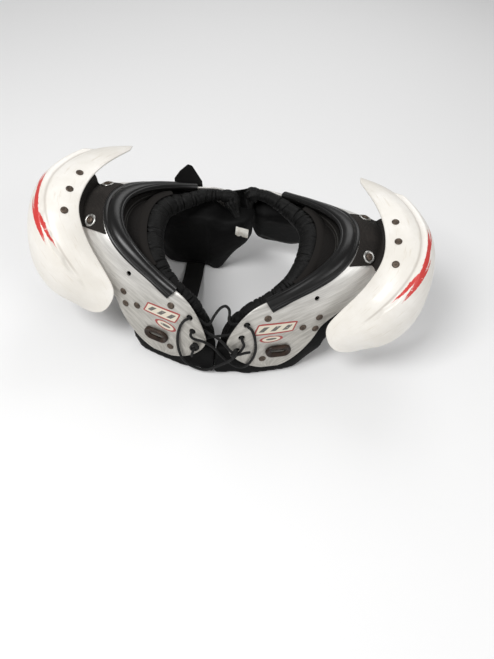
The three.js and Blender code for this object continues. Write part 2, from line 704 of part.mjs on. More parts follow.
// Band that joins the two rear plates across the centre plane, outside both.
function backBridge() {
  const columns = steps(12, (w) => {
    const x = mix(-bridgeReach, bridgeReach, w);
    const side = sides.find(({ sign }) => Math.sign(x || 1) === sign);
    const inset = bridgeInset / bridgeReach;
    return (z, h) => {
      const nearest = Math.max(Math.abs(x), bridgeInset);
      const point = onRear(side, nearest, z, bridgeSeat + h);
      if (Math.abs(x) >= bridgeInset) return point;
      const ends = sides.map((each) => onRear(each, bridgeInset, z, bridgeSeat + h));
      return ends[1].clone().lerp(ends[0], (w - 0.5) / inset + 0.5);
    };
  });
  const face = (h) => columns.map((at) => steps(2, (k) => at(
    mix(bridgeLow, bridgeLow + bridgeWidth, k), h)));
  addPart('back_bridge', shellSolid(face(strapThickness), face(0)), 'webbing');
}

// Blank folded tag on the inner face of the right back cushion.
function sizeTag() {
  const [width, height] = [21, 15];
  const fold = [[0, 0], [-2.6, -0.45 * height], [-1.2, -height]];
  const line = fold.map(([y, z]) => ({ at: vector(...tagPlace).add(vector(0, y, z)),
    wide: vector(0.96, 0.1, -0.26), flat: vector(0, 1, 0) }));
  band('size_tag', line, width, 0.8, 'tag');
}

// One lace in millimetres: from the tail of its knot on the right plate, back and forth
// through the six holes and round two loose loops, to the tail of its knot on the left.
const laceRun = [
  [-34, -151, 38], [-34, -153.5, 46], [-32.5, -156.5, 54], [-31, -156, 60.2], [-30.5, -152, 60.6],
  [-30.2, -146, 60], [-29.4, -141, 59.6], [-22, -137.5, 63], [-10, -134.5, 67.5],
  [2, -133.5, 71], [14, -133.5, 75.5], [26, -134.5, 81], [33.2, -137.5, 84], [35, -143, 85],
  [37, -149.5, 84.8], [39.6, -150, 80], [39.2, -148.5, 73], [36, -149, 63.5], [30.4, -152, 54.5],
  [20.3, -152.5, 39.5], [10.5, -152.5, 30], [0.5, -152, 20], [-14.1, -150.6, 8.2],
  [-32.3, -148.5, 9.4], [-46.7, -149.8, 25], [-53.4, -147.8, 42.4], [-56.4, -144.2, 60.1],
  [-55.6, -142.4, 77.7], [-51.3, -141.6, 94.9], [-46, -142.5, 106.5], [-42, -143.5, 110.6],
  [-40.2, -138, 108.6], [-37, -131.5, 105.5], [-28, -130.5, 98.5], [-18, -132, 91],
  [-12.5, -132, 92.5], [-10.2, -132, 100], [-5.8, -132, 113.6], [2, -132, 130.3],
  [8.3, -132, 135.3], [12.9, -132, 130], [14.5, -131.5, 117.6], [13.8, -131, 107],
  [17, -130.5, 98.5], [27, -130.5, 99], [37, -131.5, 105.5], [40.2, -138, 108.6],
  [42, -143.5, 110.6], [46.3, -142, 105.8], [51.5, -141.6, 93.5], [55.2, -142.5, 77.7],
  [56.8, -143.8, 62.6], [55.1, -145.7, 48.6], [49.4, -148.5, 34.6], [41, -147.6, 23],
  [31.8, -147.4, 22.5], [17.5, -147, 33], [7.9, -147, 43.5], [1.1, -147.5, 54.5],
  [-7, -149, 66], [-15.5, -151, 74], [-22, -151.5, 77.5], [-30, -150.5, 77.5],
  [-35.8, -149.5, 80.5], [-37, -148, 84.8], [-35, -143, 85], [-33, -137.5, 84.6],
  [-27, -134.3, 84], [-20.5, -135.3, 82.4], [-10, -139.5, 80], [-1, -142, 77.5],
  [6, -144.5, 74.5], [14.5, -149.5, 70.5], [21, -154, 66.6], [27, -155.5, 63.5],
  [34, -155.5, 62.4], [42.5, -151.5, 63], [50, -149, 63],
].map((p) => vector(...p));

function lace() {
  const run = new THREE.CatmullRomCurve3(laceRun);
  const rows = 84;
  const ringSides = 8;
  const frames = run.computeFrenetFrames(rows, false);
  const rings = steps(rows, (w) => {
    const row = Math.round(w * rows);
    return Array.from({ length: ringSides }, (_, j) => {
      const angle = (2 * Math.PI * j) / ringSides;
      return run.getPointAt(w)
        .addScaledVector(frames.normals[row], 0.5 * laceDiameter * Math.cos(angle))
        .addScaledVector(frames.binormals[row], 0.5 * laceDiameter * Math.sin(angle));
    });
  });
  addPart('lace', ringSolid(rings), 'lace');
}

// A turn of the lace round itself that keeps its end from slipping through the hole.
function laceKnot(name, at, before) {
  const knot = new THREE.TorusGeometry(0.5 * laceDiameter + knotClearance + knotRadius, knotRadius, 6, 10);
  const along = at.clone().sub(before).normalize();
  const turn = new THREE.Quaternion().setFromUnitVectors(vector(0, 0, 1), along);
  knot.applyQuaternion(turn).translate(at.x, at.y, at.z);
  addPart(name, fused(knot), 'lace');
}

for (const side of sides) {
  shoulderArch(side);
  neckTrim(side);
  hingeWeb(side);
  webRivets(side);
  shoulderCap(side);
  capRivets(side);
  plateRivets(side);
  beltBezel(side);
  cushion(side, 'front_cushion', side.chest, chestLimits);
  cushion(side, 'back_cushion', side.back, backLimits);
  neckRoll(side);
  shoulderPad(side);
}
lace();
laceKnot('right_lace_knot', laceRun[4], laceRun[5]);
laceKnot('left_lace_knot', laceRun[laceRun.length - 4], laceRun[laceRun.length - 5]);
innerStrap();
backStrap(sides[1]);
backBridge();
sizeTag();

// The origin is the middle of the box that all but the lace fills, on the standing surface.
const extent = new THREE.Box3();
for (const piece of group.children) {
  if (!piece.name.includes('lace')) extent.expandByObject(piece);
}
group.position.set(-(extent.min.x + extent.max.x) / 2, -(extent.min.y + extent.max.y) / 2, 0);

export default group;
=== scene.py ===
import math
import bpy
import numpy as np
from mathutils import Matrix, Vector


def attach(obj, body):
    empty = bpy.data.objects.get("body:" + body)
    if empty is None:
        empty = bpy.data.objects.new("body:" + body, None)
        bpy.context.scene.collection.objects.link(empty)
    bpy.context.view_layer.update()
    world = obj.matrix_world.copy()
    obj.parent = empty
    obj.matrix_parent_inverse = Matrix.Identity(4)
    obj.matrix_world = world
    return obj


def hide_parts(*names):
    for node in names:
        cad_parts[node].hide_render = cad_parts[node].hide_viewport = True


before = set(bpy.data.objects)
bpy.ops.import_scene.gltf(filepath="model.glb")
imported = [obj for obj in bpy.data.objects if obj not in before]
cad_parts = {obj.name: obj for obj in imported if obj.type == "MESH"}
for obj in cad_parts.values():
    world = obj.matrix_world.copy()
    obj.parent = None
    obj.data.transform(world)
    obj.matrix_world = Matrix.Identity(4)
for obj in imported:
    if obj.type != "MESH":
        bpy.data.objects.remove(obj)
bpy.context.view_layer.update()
scene = bpy.context.scene

# Lengths below are in millimetres in the drawing's frame: X to the wearer's left, Y to the
# back, Z up. frameShift moves the drawing so that the pad's box stands over the origin.
frameShift = np.array([-1.0985, -2.1145, 0.0])
archScale = np.array([226.0, 156.0, 186.0]) / 100
capScale = np.array([100.0, 140.0, 125.0]) / 100
sides = {
    "left": {"name": "left", "sign": 1, "rearFlare": 34, "rearLift": 18},
    "right": {"name": "right", "sign": -1, "rearFlare": -8, "rearLift": 0},
}


def metres(points):
    return (np.asarray(points, float) + frameShift) / 1000


# ---- numbers
def smooth(x):  # 3x^2 - 2x^3, held at 0 and 1
    w = np.clip(x, 0, 1)
    return w * w * (3 - 2 * w)


def mix(a, b, w):
    return a + (b - a) * w


def unit(v):
    return v / np.maximum(np.linalg.norm(v, axis=-1, keepdims=True), 1e-12)


def roundAngles(count):
    return 2 * math.pi * np.arange(count) / count


def rowAt(rows, place):
    # uniform cubic B-spline steered by the rows of a table, ends held by phantom rows
    place = np.asarray(place, float)
    last = len(rows) - 1
    i = np.clip(np.floor(place).astype(int), 0, last - 1)
    t = (place - i)[..., None]
    b, c = rows[i], rows[i + 1]
    a = np.where((i > 0)[..., None], rows[np.maximum(i - 1, 0)], 2 * b - c)
    d = np.where((i < last - 1)[..., None], rows[np.minimum(i + 2, last)], 2 * c - b)
    return (a * (1 - t) ** 3 + b * (3 * t**3 - 6 * t**2 + 4)
            + c * (-3 * t**3 + 3 * t**2 + 3 * t + 1) + d * t**3) / 6


# ---- camera, first because the lace is judged by its view
cameraSet = {"place": (45.708, -649.747, 707.907), "right": (0.99119, 0.10518, 0.08044),
             "up": (-0.13227, 0.75813, 0.63854), "focalShare": 571 / 659}


def placeCamera():
    # looks along the cross product of its right and up directions
    data = bpy.data.cameras.new("camera")
    camera = bpy.data.objects.new("camera", data)
    scene.collection.objects.link(camera)
    right, up = np.array(cameraSet["right"]), np.array(cameraSet["up"])
    axes = np.stack([right, up, np.cross(right, up)], 1)
    matrix = np.eye(4)
    matrix[:3, :3] = axes
    matrix[:3, 3] = metres(cameraSet["place"])
    camera.matrix_world = Matrix(matrix.tolist())
    data.sensor_width = 36
    data.lens = 36 * cameraSet["focalShare"]
    data.clip_start, data.clip_end = 0.05, 20
    scene.camera = camera


placeCamera()
print("camera placed")


# ---- meshes from grids
def gridFaces(rows, columns, wrap=False):
    # quads of a grid and, for each corner, its (row, column) place counted without wrapping
    i, j = np.meshgrid(np.arange(rows - 1), np.arange(columns if wrap else columns - 1),
                       indexing="ij")
    i, j = i.ravel(), j.ravel()
    k = (j + 1) % columns
    quads = np.stack([i * columns + j, (i + 1) * columns + j, (i + 1) * columns + k,
                      i * columns + k], 1)
    places = np.stack([np.stack([i, j], 1), np.stack([i + 1, j], 1),
                       np.stack([i + 1, j + 1], 1), np.stack([i, j + 1], 1)], 1)
    return quads, places.astype(float)


def volumeOf(points, quads):
    # six times the enclosed volume, each quad as two triangles
    p = points[quads]
    return (np.einsum("ij,ij->i", p[:, 0], np.cross(p[:, 1], p[:, 2])).sum()
            + np.einsum("ij,ij->i", p[:, 0], np.cross(p[:, 2], p[:, 3])).sum())


def makeMesh(name, points, quads, uv, ends=(), sharp=50):
    # quads with a uv for each corner, then end caps; turned outward by the sign of its volume
    points = metres(points)
    if volumeOf(points - points.mean(0), quads) < 0:
        quads, uv = quads[:, ::-1], uv[:, ::-1]
        ends = [end[::-1] for end in ends]
    mesh = bpy.data.meshes.new(name)
    mesh.from_pydata(points.tolist(), [], quads.tolist() + [list(end) for end in ends])
    layer = mesh.uv_layers.new(name="UVMap")
    flat = np.zeros((len(mesh.loops), 2), np.float32)
    flat[: uv.shape[0] * 4] = uv.reshape(-1, 2)
    layer.data.foreach_set("uv", flat.ravel())
    mesh.shade_smooth()
    mesh.set_sharp_from_angle(angle=math.radians(sharp))
    piece = bpy.data.objects.new(name, mesh)
    scene.collection.objects.link(piece)
    return piece


def tubeMesh(name, rings, lengths, sharp=50):
    # closed body through an array of rings (rows, columns, 3); uv in millimetres
    rows, columns = rings.shape[:2]
    quads, places = gridFaces(rows, columns, wrap=True)
    uv = places / [rows - 1, columns] * lengths
    first = list(range(columns))[::-1]
    last = list(range((rows - 1) * columns, rows * columns))
    return makeMesh(name, rings.reshape(-1, 3), quads, uv, [first, last], sharp)


def shellMesh(name, top, bottom, lengths, rounding=4, sharp=60):
    # two matching grids joined round their border by a half-round wall
    rows, columns = top.shape[:2]
    count = rows * columns
    quads, places = gridFaces(rows, columns)
    index = np.arange(count).reshape(rows, columns)
    border = np.concatenate([index[0, :-1], index[:-1, -1], index[-1, :0:-1], index[:0:-1, 0]])
    topFlat, bottomFlat = top.reshape(-1, 3), bottom.reshape(-1, 3)
    high, low = topFlat[border], bottomFlat[border]
    run = unit(np.roll(high, -1, 0) - np.roll(high, 1, 0))
    outward = unit(np.cross(run, high - low))
    inside = top[rows // 2, columns // 2] - high
    if (outward * inside).sum() > 0:
        outward = -outward
    half = np.linalg.norm(high - low, axis=1, keepdims=True) / 2
    angles = np.linspace(0, math.pi, rounding + 2)[1:-1]
    walls = [(high + low) / 2 + (high - low) / 2 * math.cos(a) + outward * half * math.sin(a)
             for a in angles]
    points = np.concatenate([topFlat, bottomFlat, *walls])
    size = len(border)
    loops = [border, *[2 * count + k * size + np.arange(size) for k in range(rounding)],
             border + count]
    faces, corners = [quads, quads[:, ::-1] + count], [places, places[:, ::-1]]
    edge = np.stack([border // columns, border % columns], 1).astype(float)
    for near, far in zip(loops, loops[1:]):
        faces.append(np.stack([np.roll(near, -1), near, far, np.roll(far, -1)], 1))
        step = np.stack([np.roll(edge, -1, 0), edge, edge, np.roll(edge, -1, 0)], 1)
        corners.append(step)
    uv = np.concatenate(corners) / [rows - 1, columns - 1] * lengths
    allFaces = np.concatenate(faces)
    # the wall must turn the same way as the top face it meets
    return makeMesh(name, points, orient(allFaces, quads, border), uv, (), sharp)


def orient(faces, quads, border):
    # flips the wall if its first edge runs the same way as the top grid's edge there
    a, b = border[0], border[1]
    top = next(q for q in quads.tolist() if a in q and b in q)
    forward = top[(top.index(a) + 1) % 4] == b
    wall = faces[2 * len(quads):]
    w = wall[0].tolist()
    wallForward = w[(w.index(a) + 1) % 4] == b
    if forward == wallForward:
        faces = faces.copy()
        faces[2 * len(quads):] = wall[:, ::-1]
    return faces


def ringMesh(name, rings, lengths, sharp):
    # closed body through rings whose last one joins the first
    rows, columns = rings.shape[:2]
    quads, places = gridFaces(rows + 1, columns, wrap=True)
    uv = places / [rows, columns] * lengths
    return makeMesh(name, rings.reshape(-1, 3), quads % (rows * columns), uv, (), sharp)


def readUv(piece):
    uv = np.zeros(len(piece.data.loops) * 2, np.float32)
    piece.data.uv_layers["UVMap"].data.foreach_get("uv", uv)
    return uv.reshape(-1, 2)


def writeUv(piece, uv):
    piece.data.uv_layers["UVMap"].data.foreach_set("uv", uv.astype(np.float32).ravel())


def keep(piece, material, slotName, *nodes):
    # dresses a piece, sets it on the root body and hides the CAD parts of the nodes it stands for;
    # its slot is not used
    piece.data.materials.clear()
    piece.data.materials.append(material)
    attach(piece, "root")
    if nodes:
        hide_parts(*nodes)
    return piece


# ---- shader maths
class Num:
    # a node's output that takes part in expressions, each operator a Math node
    def __init__(self, paint, socket):
        self.paint, self.socket = paint, socket

    def math(self, operation, *others):
        return self.paint.math(operation, self, *others)

    def __add__(self, other): return self.math("ADD", other)
    def __radd__(self, other): return self.math("ADD", other)
    def __sub__(self, other): return self.math("SUBTRACT", other)
    def __rsub__(self, other): return self.paint.math("SUBTRACT", other, self)
    def __mul__(self, other): return self.math("MULTIPLY", other)
    def __rmul__(self, other): return self.math("MULTIPLY", other)
    def __truediv__(self, other): return self.math("DIVIDE", other)
    def __rtruediv__(self, other): return self.paint.math("DIVIDE", other, self)
    def __abs__(self): return self.math("ABSOLUTE")
    def __gt__(self, other): return self.math("GREATER_THAN", other)


class Paint:
    # a material and its nodes; constants go straight into the shader's own sockets
    def __init__(self, name, **constants):
        self.material = bpy.data.materials.new(name)
        self.material.use_nodes = True
        self.tree = self.material.node_tree
        self.body = self.tree.nodes["Principled BSDF"]
        for socket, value in constants.items():
            self.body.inputs[socket.replace("_", " ")].default_value = value
        self.uvMap = None

    def node(self, kind, settings=None, out=0, **inputs):
        made = self.tree.nodes.new(kind)
        for key, value in (settings or {}).items():
            setattr(made, key, value)
        for key, value in inputs.items():
            slot = made.inputs[int(key[1:])] if key[1:].isdigit() else made.inputs[
                key.replace("_", " ")]
            self.feed(slot, value)
        return Num(self, made.outputs[out])

    def feed(self, slot, value):
        if isinstance(value, Num):
            self.tree.links.new(value.socket, slot)
        else:
            slot.default_value = value

    def math(self, operation, *values):
        made = self.tree.nodes.new("ShaderNodeMath")
        made.operation = operation
        for slot, value in zip(made.inputs, values):
            self.feed(slot, value)
        return Num(self, made.outputs[0])

    def uv(self):
        if not self.uvMap:
            self.uvMap = self.node("ShaderNodeUVMap", {"uv_map": "UVMap"})
        return self.uvMap

    def place(self):
        return self.node("ShaderNodeTexCoord", out="Object")

    def axes(self, vector):
        made = self.node("ShaderNodeSeparateXYZ", Vector=vector).socket.node
        return [Num(self, out) for out in made.outputs]

    def point(self, x, y, z=0.0):
        return self.node("ShaderNodeCombineXYZ", X=x, Y=y, Z=z)

    def noise(self, vector, scale, detail=3.0, roughness=0.5):
        return self.node("ShaderNodeTexNoise", Vector=vector, Scale=scale, Detail=detail,
                         Roughness=roughness)

    def step(self, value, low, high):
        return self.node("ShaderNodeMapRange", {"interpolation_type": "SMOOTHSTEP"},
                         Value=value, From_Min=low, From_Max=high)

    def blend(self, factor, a, b):
        return self.node("ShaderNodeMix", {"data_type": "RGBA"}, out=2, i0=factor,
                         i6=a if isinstance(a, Num) else (*a, 1),
                         i7=b if isinstance(b, Num) else (*b, 1))

    def colour(self, value):
        self.feed(self.body.inputs["Base Color"], value)

    def rough(self, value):
        self.feed(self.body.inputs["Roughness"], value)

    def bump(self, height, distance, strength=1.0):
        normal = self.node("ShaderNodeBump", Height=height, Distance=distance,
                           Strength=strength)
        self.feed(self.body.inputs["Normal"], normal)


def plateFinish():
    # silver white moulded plastic: long slanted streaks, soft clouding, fine scratches
    paint = Paint("silverPlastic", Metallic=0.45, Coat_Weight=0.2, Coat_Roughness=0.25)
    x, y, _ = paint.axes(paint.uv())
    slant = paint.point((x + 0.7 * y) * 0.012, (y - 0.7 * x) * 0.055)
    streak = paint.noise(slant, 2.4, 5.0, 0.62)
    fine = paint.noise(paint.point((x + 0.7 * y) * 0.03, (y - 0.7 * x) * 0.45), 2.2, 4.0, 0.7)
    cloud = paint.noise(paint.place(), 9.0, 2.0)
    tone = paint.step(0.6 * streak + 0.3 * fine + 0.2 * cloud, 0.36, 0.76)
    # painted light and shade by height: the shoulder is painted lighter, the chest darker and
    # warmer
    high = paint.step(paint.axes(paint.place())[2], 0.085, 0.175)
    dark = paint.blend(high, (0.30, 0.285, 0.255), (0.60, 0.585, 0.555))
    light = paint.blend(high, (0.60, 0.58, 0.535), (0.86, 0.845, 0.815))
    paint.colour(paint.blend(tone, dark, light))
    paint.rough(0.30 + 0.14 * fine + 0.08 * cloud)
    paint.bump(0.6 * fine + 0.4 * streak, 0.00025, 0.25)
    return paint.material


# millimetres along the cap from its front tip and across it from its inner edge: the band of
# painted shade along the groove of the crescent, and for each red mark its middle along, half
# length, half width, middle across and lean
grooveShadeBand = {"level": 38.5, "reach": 3.4, "starts": (58.0, 76.0), "ends": (236.0, 256.0)}
shellMarks = [(150, 48, 3.8, 49, -0.04), (120, 28, 2.2, 45, 0.10), (132, 32, 2.2, 54, 0.07),
              (180, 26, 2.0, 52, 0.12)]


def shellFinish():
    # warm white cap: faint handling streaks, painted shade along the crescent's groove, red
    # slashes beside the crescent
    paint = Paint("whiteShell", Coat_Weight=0.25, Coat_Roughness=0.12)
    x, y, _ = paint.axes(paint.uv())
    cloud = paint.noise(paint.place(), 14.0, 4.0, 0.6)
    scuff = paint.noise(paint.point(x * 0.012, y * 0.09), 3.0, 5.0, 0.65)
    white = paint.blend(paint.step(cloud, 0.35, 0.75), (0.80, 0.765, 0.70), (0.91, 0.885, 0.84))
    white = paint.blend(0.65 * paint.step(scuff, 0.54, 0.74), white, (0.66, 0.60, 0.50))
    # painted shade in the groove along the crescent's near border
    shadeInGroove = (1 - paint.step(abs(y - grooveShadeBand["level"]), 0.0, grooveShadeBand["reach"])) \
        * paint.step(x, *grooveShadeBand["starts"]) * (1 - paint.step(x, *grooveShadeBand["ends"]))
    white = paint.blend(0.55 * shadeInGroove, white, (0.42, 0.375, 0.33))
    # long red slivers side by side, each pointed at both ends, the middle one largest
    red = 0.0
    for middle, reach, wide, level, lean in shellMarks:
        along = (x - middle) / reach
        ragged = paint.noise(paint.point(x * 0.05, y * 0.11), 4.0, 4.0, 0.7)
        body = wide * paint.math("MAXIMUM", 1.12 - 1.12 * along * along, 0.0) - 0.5
        away = abs(y - level - lean * (x - middle) + 4.0 * (ragged - 0.5))
        red = paint.math("MAXIMUM", red, 1 - paint.step(away - body, -0.4, 0.4))
    red = red * (x > 40.0)
    worn = paint.step(paint.noise(paint.place(), 190.0, 4.0, 0.7), 0.30, 0.38)
    paint.colour(paint.blend(0.96 * red * worn, white, (0.62, 0.012, 0.008)))
    paint.rough(0.26 + 0.18 * cloud + 0.1 * scuff)
    paint.bump(paint.noise(paint.place(), 60.0, 3.0), 0.0004, 0.12)
    return paint.material


def vinylFinish():
    # glossy black sheet vinyl with a row of stitches on the flange
    paint = Paint("blackVinyl", Specular_IOR_Level=0.42)
    x, y, _ = paint.axes(paint.uv())
    crease = paint.noise(paint.point(x * 0.03, y * 0.02), 2.0, 2.0, 0.5)
    pores = paint.noise(paint.place(), 900.0, 2.0)
    dash = paint.step(paint.math("PINGPONG", x, 2.2), 0.5, 0.9)
    row = 1 - paint.step(abs(y - 34.6), 0.25, 0.55)
    stitch = dash * row
    paint.colour(paint.blend(stitch, (0.0028, 0.0026, 0.0025), (0.022, 0.021, 0.019)))
    paint.rough(0.24 + 0.12 * crease + 0.05 * pores + 0.3 * stitch)
    paint.bump(0.35 * crease + 0.03 * pores + 0.5 * stitch, 0.0004, 0.2)
    return paint.material


def webFinish(name, shade, pitch=1.5):
    # flat woven webbing: rows of ribs crossed by warp threads
    paint = Paint(name, Specular_IOR_Level=0.15, Sheen_Weight=0.03, Sheen_Roughness=0.4)
    x, y, _ = paint.axes(paint.uv())
    rib = paint.math("SINE", x * (2 * math.pi / pitch))
    warp = paint.math("SINE", y * (2 * math.pi / (pitch * 0.8)) + 1.57 * rib)
    weave = 0.5 + 0.25 * rib + 0.25 * warp
    dust = paint.noise(paint.place(), 25.0, 4.0, 0.6)
    light = tuple(9.0 * c for c in shade)
    paint.colour(paint.blend(0.8 * weave * weave + 0.2 * paint.step(dust, 0.4, 0.8),
                             tuple(0.5 * c for c in shade), light))
    paint.rough(0.72 + 0.2 * dust)
    paint.bump(weave, 0.0006, 0.8)
    return paint.material


def nylonFinish(name, shade, gloss):
    # close black nylon over foam, with small random puckers
    paint = Paint(name, Specular_IOR_Level=0.12, Sheen_Weight=0.02, Sheen_Roughness=0.4)
    place = paint.place()
    crumple = paint.noise(place, 38.0, 5.0, 0.62)
    thread = paint.noise(place, 1400.0, 1.0)
    light = tuple(2.2 * c for c in shade)
    paint.colour(paint.blend(paint.step(crumple, 0.3, 0.8), shade, light))
    paint.rough(gloss + 0.2 * crumple)
    paint.bump(crumple + 0.05 * thread, 0.0035, 0.35)
    return paint.material


def gatherFinish():
    # thin black nylon drawn tight round the roll, with threads and crinkles across it
    paint = Paint("gatheredNylon", Specular_IOR_Level=0.2, Sheen_Weight=0.015,
                  Sheen_Roughness=0.4)
    x, y, _ = paint.axes(paint.uv())
    crinkle = paint.noise(paint.point(x * 0.30, y * 0.06), 1.4, 5.0, 0.65)
    broad = paint.noise(paint.point(x * 0.05, y * 0.03), 1.3, 3.0, 0.5)
    paint.colour(paint.blend(paint.step(crinkle, 0.35, 0.75), (0.002, 0.002, 0.0019),
                             (0.0052, 0.0051, 0.0048)))
    paint.rough(0.42 + 0.25 * broad)
    paint.bump(crinkle + broad, 0.0028, 0.5)
    return paint.material


def meshFinish():
    # spacer mesh: staggered small holes in charcoal knit, and a stitched seam by the roll
    paint = Paint("spacerMesh", Specular_IOR_Level=0.15, Sheen_Weight=0.02)
    x, y, _ = paint.axes(paint.uv())
    pitch = 3.6
    p = paint.math("SINE", x * (2 * math.pi / pitch))
    q = paint.math("SINE", y * (2 * math.pi / pitch))
    hole = paint.step(p * q, 0.05, 0.7)
    seam = (1 - paint.step(abs(y - 62.0), 0.5, 1.1))
    dots = seam * paint.step(paint.math("PINGPONG", x, 1.8), 0.5, 0.9)
    base = paint.blend(hole, (0.0125, 0.0108, 0.0096), (0.001, 0.001, 0.001))
    paint.colour(paint.blend(0.8 * dots, base, (0.09, 0.088, 0.08)))
    paint.rough(0.8 + 0.1 * hole)
    paint.bump(0.6 * dots - 0.7 * hole - 0.8 * seam, 0.0008, 0.8)
    return paint.material


def metalFinish(name, shade, rough, metallic):
    # small turned fastener: brushed rings dulled by handling
    paint = Paint(name, Metallic=metallic)
    grime = paint.noise(paint.place(), 260.0, 4.0, 0.65)
    dark = tuple(0.45 * c for c in shade)
    paint.colour(paint.blend(paint.step(grime, 0.35, 0.7), dark, shade))
    paint.rough(rough + 0.3 * grime)
    paint.bump(grime, 0.0003, 0.3)
    return paint.material


def bezelFinish():
    # dull brown moulded plastic with a fine grain
    paint = Paint("brownBezel", Specular_IOR_Level=0.3)
    grain = paint.noise(paint.place(), 90.0, 4.0, 0.6)
    paint.colour(paint.blend(paint.step(grain, 0.3, 0.75), (0.012, 0.0065, 0.004),
                             (0.040, 0.021, 0.012)))
    paint.rough(0.34 + 0.2 * grain)
    paint.bump(grain, 0.0004, 0.4)
    return paint.material


def laceFinish():
    # round braid: two families of strands that cross along the cord
    paint = Paint("braidedLace", Specular_IOR_Level=0.2, Sheen_Weight=0.03)
    x, y, _ = paint.axes(paint.uv())
    one = paint.math("SINE", (x * 1.0 + y * 1.0) * (2 * math.pi / 1.57))
    two = paint.math("SINE", (x * 1.0 - y * 1.0) * (2 * math.pi / 1.57))
    braid = paint.math("MAXIMUM", one, two)
    paint.colour(paint.blend(paint.step(braid, -0.2, 1.0), (0.002, 0.002, 0.002),
                             (0.020, 0.020, 0.020)))
    paint.rough(0.62 + 0.12 * braid)
    paint.bump(braid, 0.0004, 0.8)
    return paint.material


def tagFinish():
    # thin ribs across a soiled tape
    paint = Paint("whiteTape", Sheen_Weight=0.1)
    x, _, _ = paint.axes(paint.uv())
    ribs = paint.math("SINE", x * (2 * math.pi / 0.8))
    soil = paint.noise(paint.place(), 120.0, 4.0, 0.6)
    paint.colour(paint.blend(paint.step(soil, 0.4, 0.8), (0.82, 0.80, 0.74), (0.52, 0.47, 0.38)))
    paint.rough(0.8 + 0.05 * ribs)
    paint.bump(ribs, 0.0003, 0.5)
    return paint.material


finish = {
    "plate": plateFinish(), "shell": shellFinish(), "vinyl": vinylFinish(),
    "hingeWeb": webFinish("hingeWebbing", (0.0072, 0.0062, 0.0055), 2.6),
    "strapWeb": webFinish("strapWebbing", (0.0030, 0.0029, 0.0028), 1.8),
    "nylon": nylonFinish("cushionNylon", (0.0022, 0.0022, 0.0022), 0.55),
    "gather": gatherFinish(), "mesh": meshFinish(),
    "nickel": metalFinish("wornNickel", (0.72, 0.71, 0.68), 0.22, 1.0),
    "bronze": metalFinish("darkBronze", (0.15, 0.115, 0.09), 0.38, 0.75),
    "bezel": bezelFinish(), "lace": laceFinish(), "tag": tagFinish(),
}
print("finishes mixed")

# ---- the lace: through the six holes and round two loose loops, knotted at both ends
lace = {
    "diameter": 4.0, "sides": 12, "perPoint": 8, "spacing": 0.8, "ease": 2.0,
    "route": [
        [-34, -151, 38], [-34, -153.5, 46], [-32.5, -156.5, 54], [-31, -156, 60.2],
        [-30.5, -152, 60.6], [-30.2, -146, 60], [-29.4, -141, 59.6], [-22, -137.5, 63],
        [-10, -134.5, 67.5], [2, -133.5, 71], [14, -133.5, 75.5], [26, -134.5, 81],
        [33.2, -137.5, 84], [35, -143, 85], [37, -149.5, 84.8], [39.6, -150, 80],
        [39.2, -148.5, 73], [36, -149, 63.5], [30.4, -152, 54.5], [20.3, -152.5, 39.5],
        [10.5, -152.5, 30], [0.5, -152, 20], [-14.1, -150.6, 8.2], [-32.3, -148.5, 9.4],
        [-46.7, -149.8, 25], [-53.4, -147.8, 42.4], [-56.4, -144.2, 60.1],
        [-55.6, -142.4, 77.7], [-51.3, -141.6, 94.9], [-46, -142.5, 106.5],
        [-42, -143.5, 110.6], [-40.2, -138, 108.6], [-37, -131.5, 105.5], [-28, -130.5, 98.5],
        [-18, -132, 91], [-12.5, -132, 92.5], [-10.2, -132, 100], [-5.8, -132, 113.6],
        [2, -132, 130.3], [8.3, -132, 135.3], [12.9, -132, 130], [14.5, -131.5, 117.6],
        [13.8, -131, 107], [17, -130.5, 98.5], [27, -130.5, 99], [37, -131.5, 105.5],
        [40.2, -138, 108.6], [42, -143.5, 110.6], [46.3, -142, 105.8], [51.5, -141.6, 93.5],
        [55.2, -142.5, 77.7], [56.8, -143.8, 62.6], [55.1, -145.7, 48.6], [49.4, -148.5, 34.6],
        [41, -147.6, 23], [31.8, -147.4, 22.5], [17.5, -147, 33], [7.9, -147, 43.5],
        [1.1, -147.5, 54.5], [-7, -149, 66], [-15.5, -151, 74], [-22, -151.5, 77.5],
        [-30, -150.5, 77.5], [-35.8, -149.5, 80.5], [-37, -148, 84.8], [-35, -143, 85],
        [-33, -137.5, 84.6], [-27, -134.3, 84], [-20.5, -135.3, 82.4], [-10, -139.5, 80],
        [-1, -142, 77.5], [6, -144.5, 74.5], [14.5, -149.5, 70.5], [21, -154, 66.6],
        [27, -155.5, 63.5], [34, -155.5, 62.4], [42.5, -151.5, 63], [50, -149, 63]],
    "endShare": 0.72, "knots": {"right_lace_knot": 4, "left_lace_knot": -4},
    "tie": {"turns": 2.3, "points": 90, "reach": 4.9, "waver": 0.5, "waverRate": 0.8,
            "height": 3.4, "radius": 1.75, "sides": 10},
}


def throughPoints(points, perPoint):
    # centripetal Catmull-Rom curve: cubic per span, tangents weighted by root distances
    p = np.vstack([2 * points[0] - points[1], points, 2 * points[-1] - points[-2]])
    d = np.sqrt(np.linalg.norm(np.diff(p, axis=0), axis=1))
    d0, d1, d2 = d[:-2, None], d[1:-1, None], d[2:, None]
    a, b, c, e = p[:-3], p[1:-2], p[2:-1], p[3:]
    start = ((b - a) / d0 - (c - a) / (d0 + d1) + (c - b) / d1) * d1
    stop = ((c - b) / d1 - (e - b) / (d1 + d2) + (e - c) / d2) * d1
    t = (np.arange(perPoint) / perPoint)[None, :, None]
    b, c, start, stop = b[:, None], c[:, None], start[:, None], stop[:, None]
    curve = (b + start * t + (3 * (c - b) - 2 * start - stop) * t**2
             + (2 * (b - c) + start + stop) * t**3)
    return np.vstack([curve.reshape(-1, 3), points[-1:]])


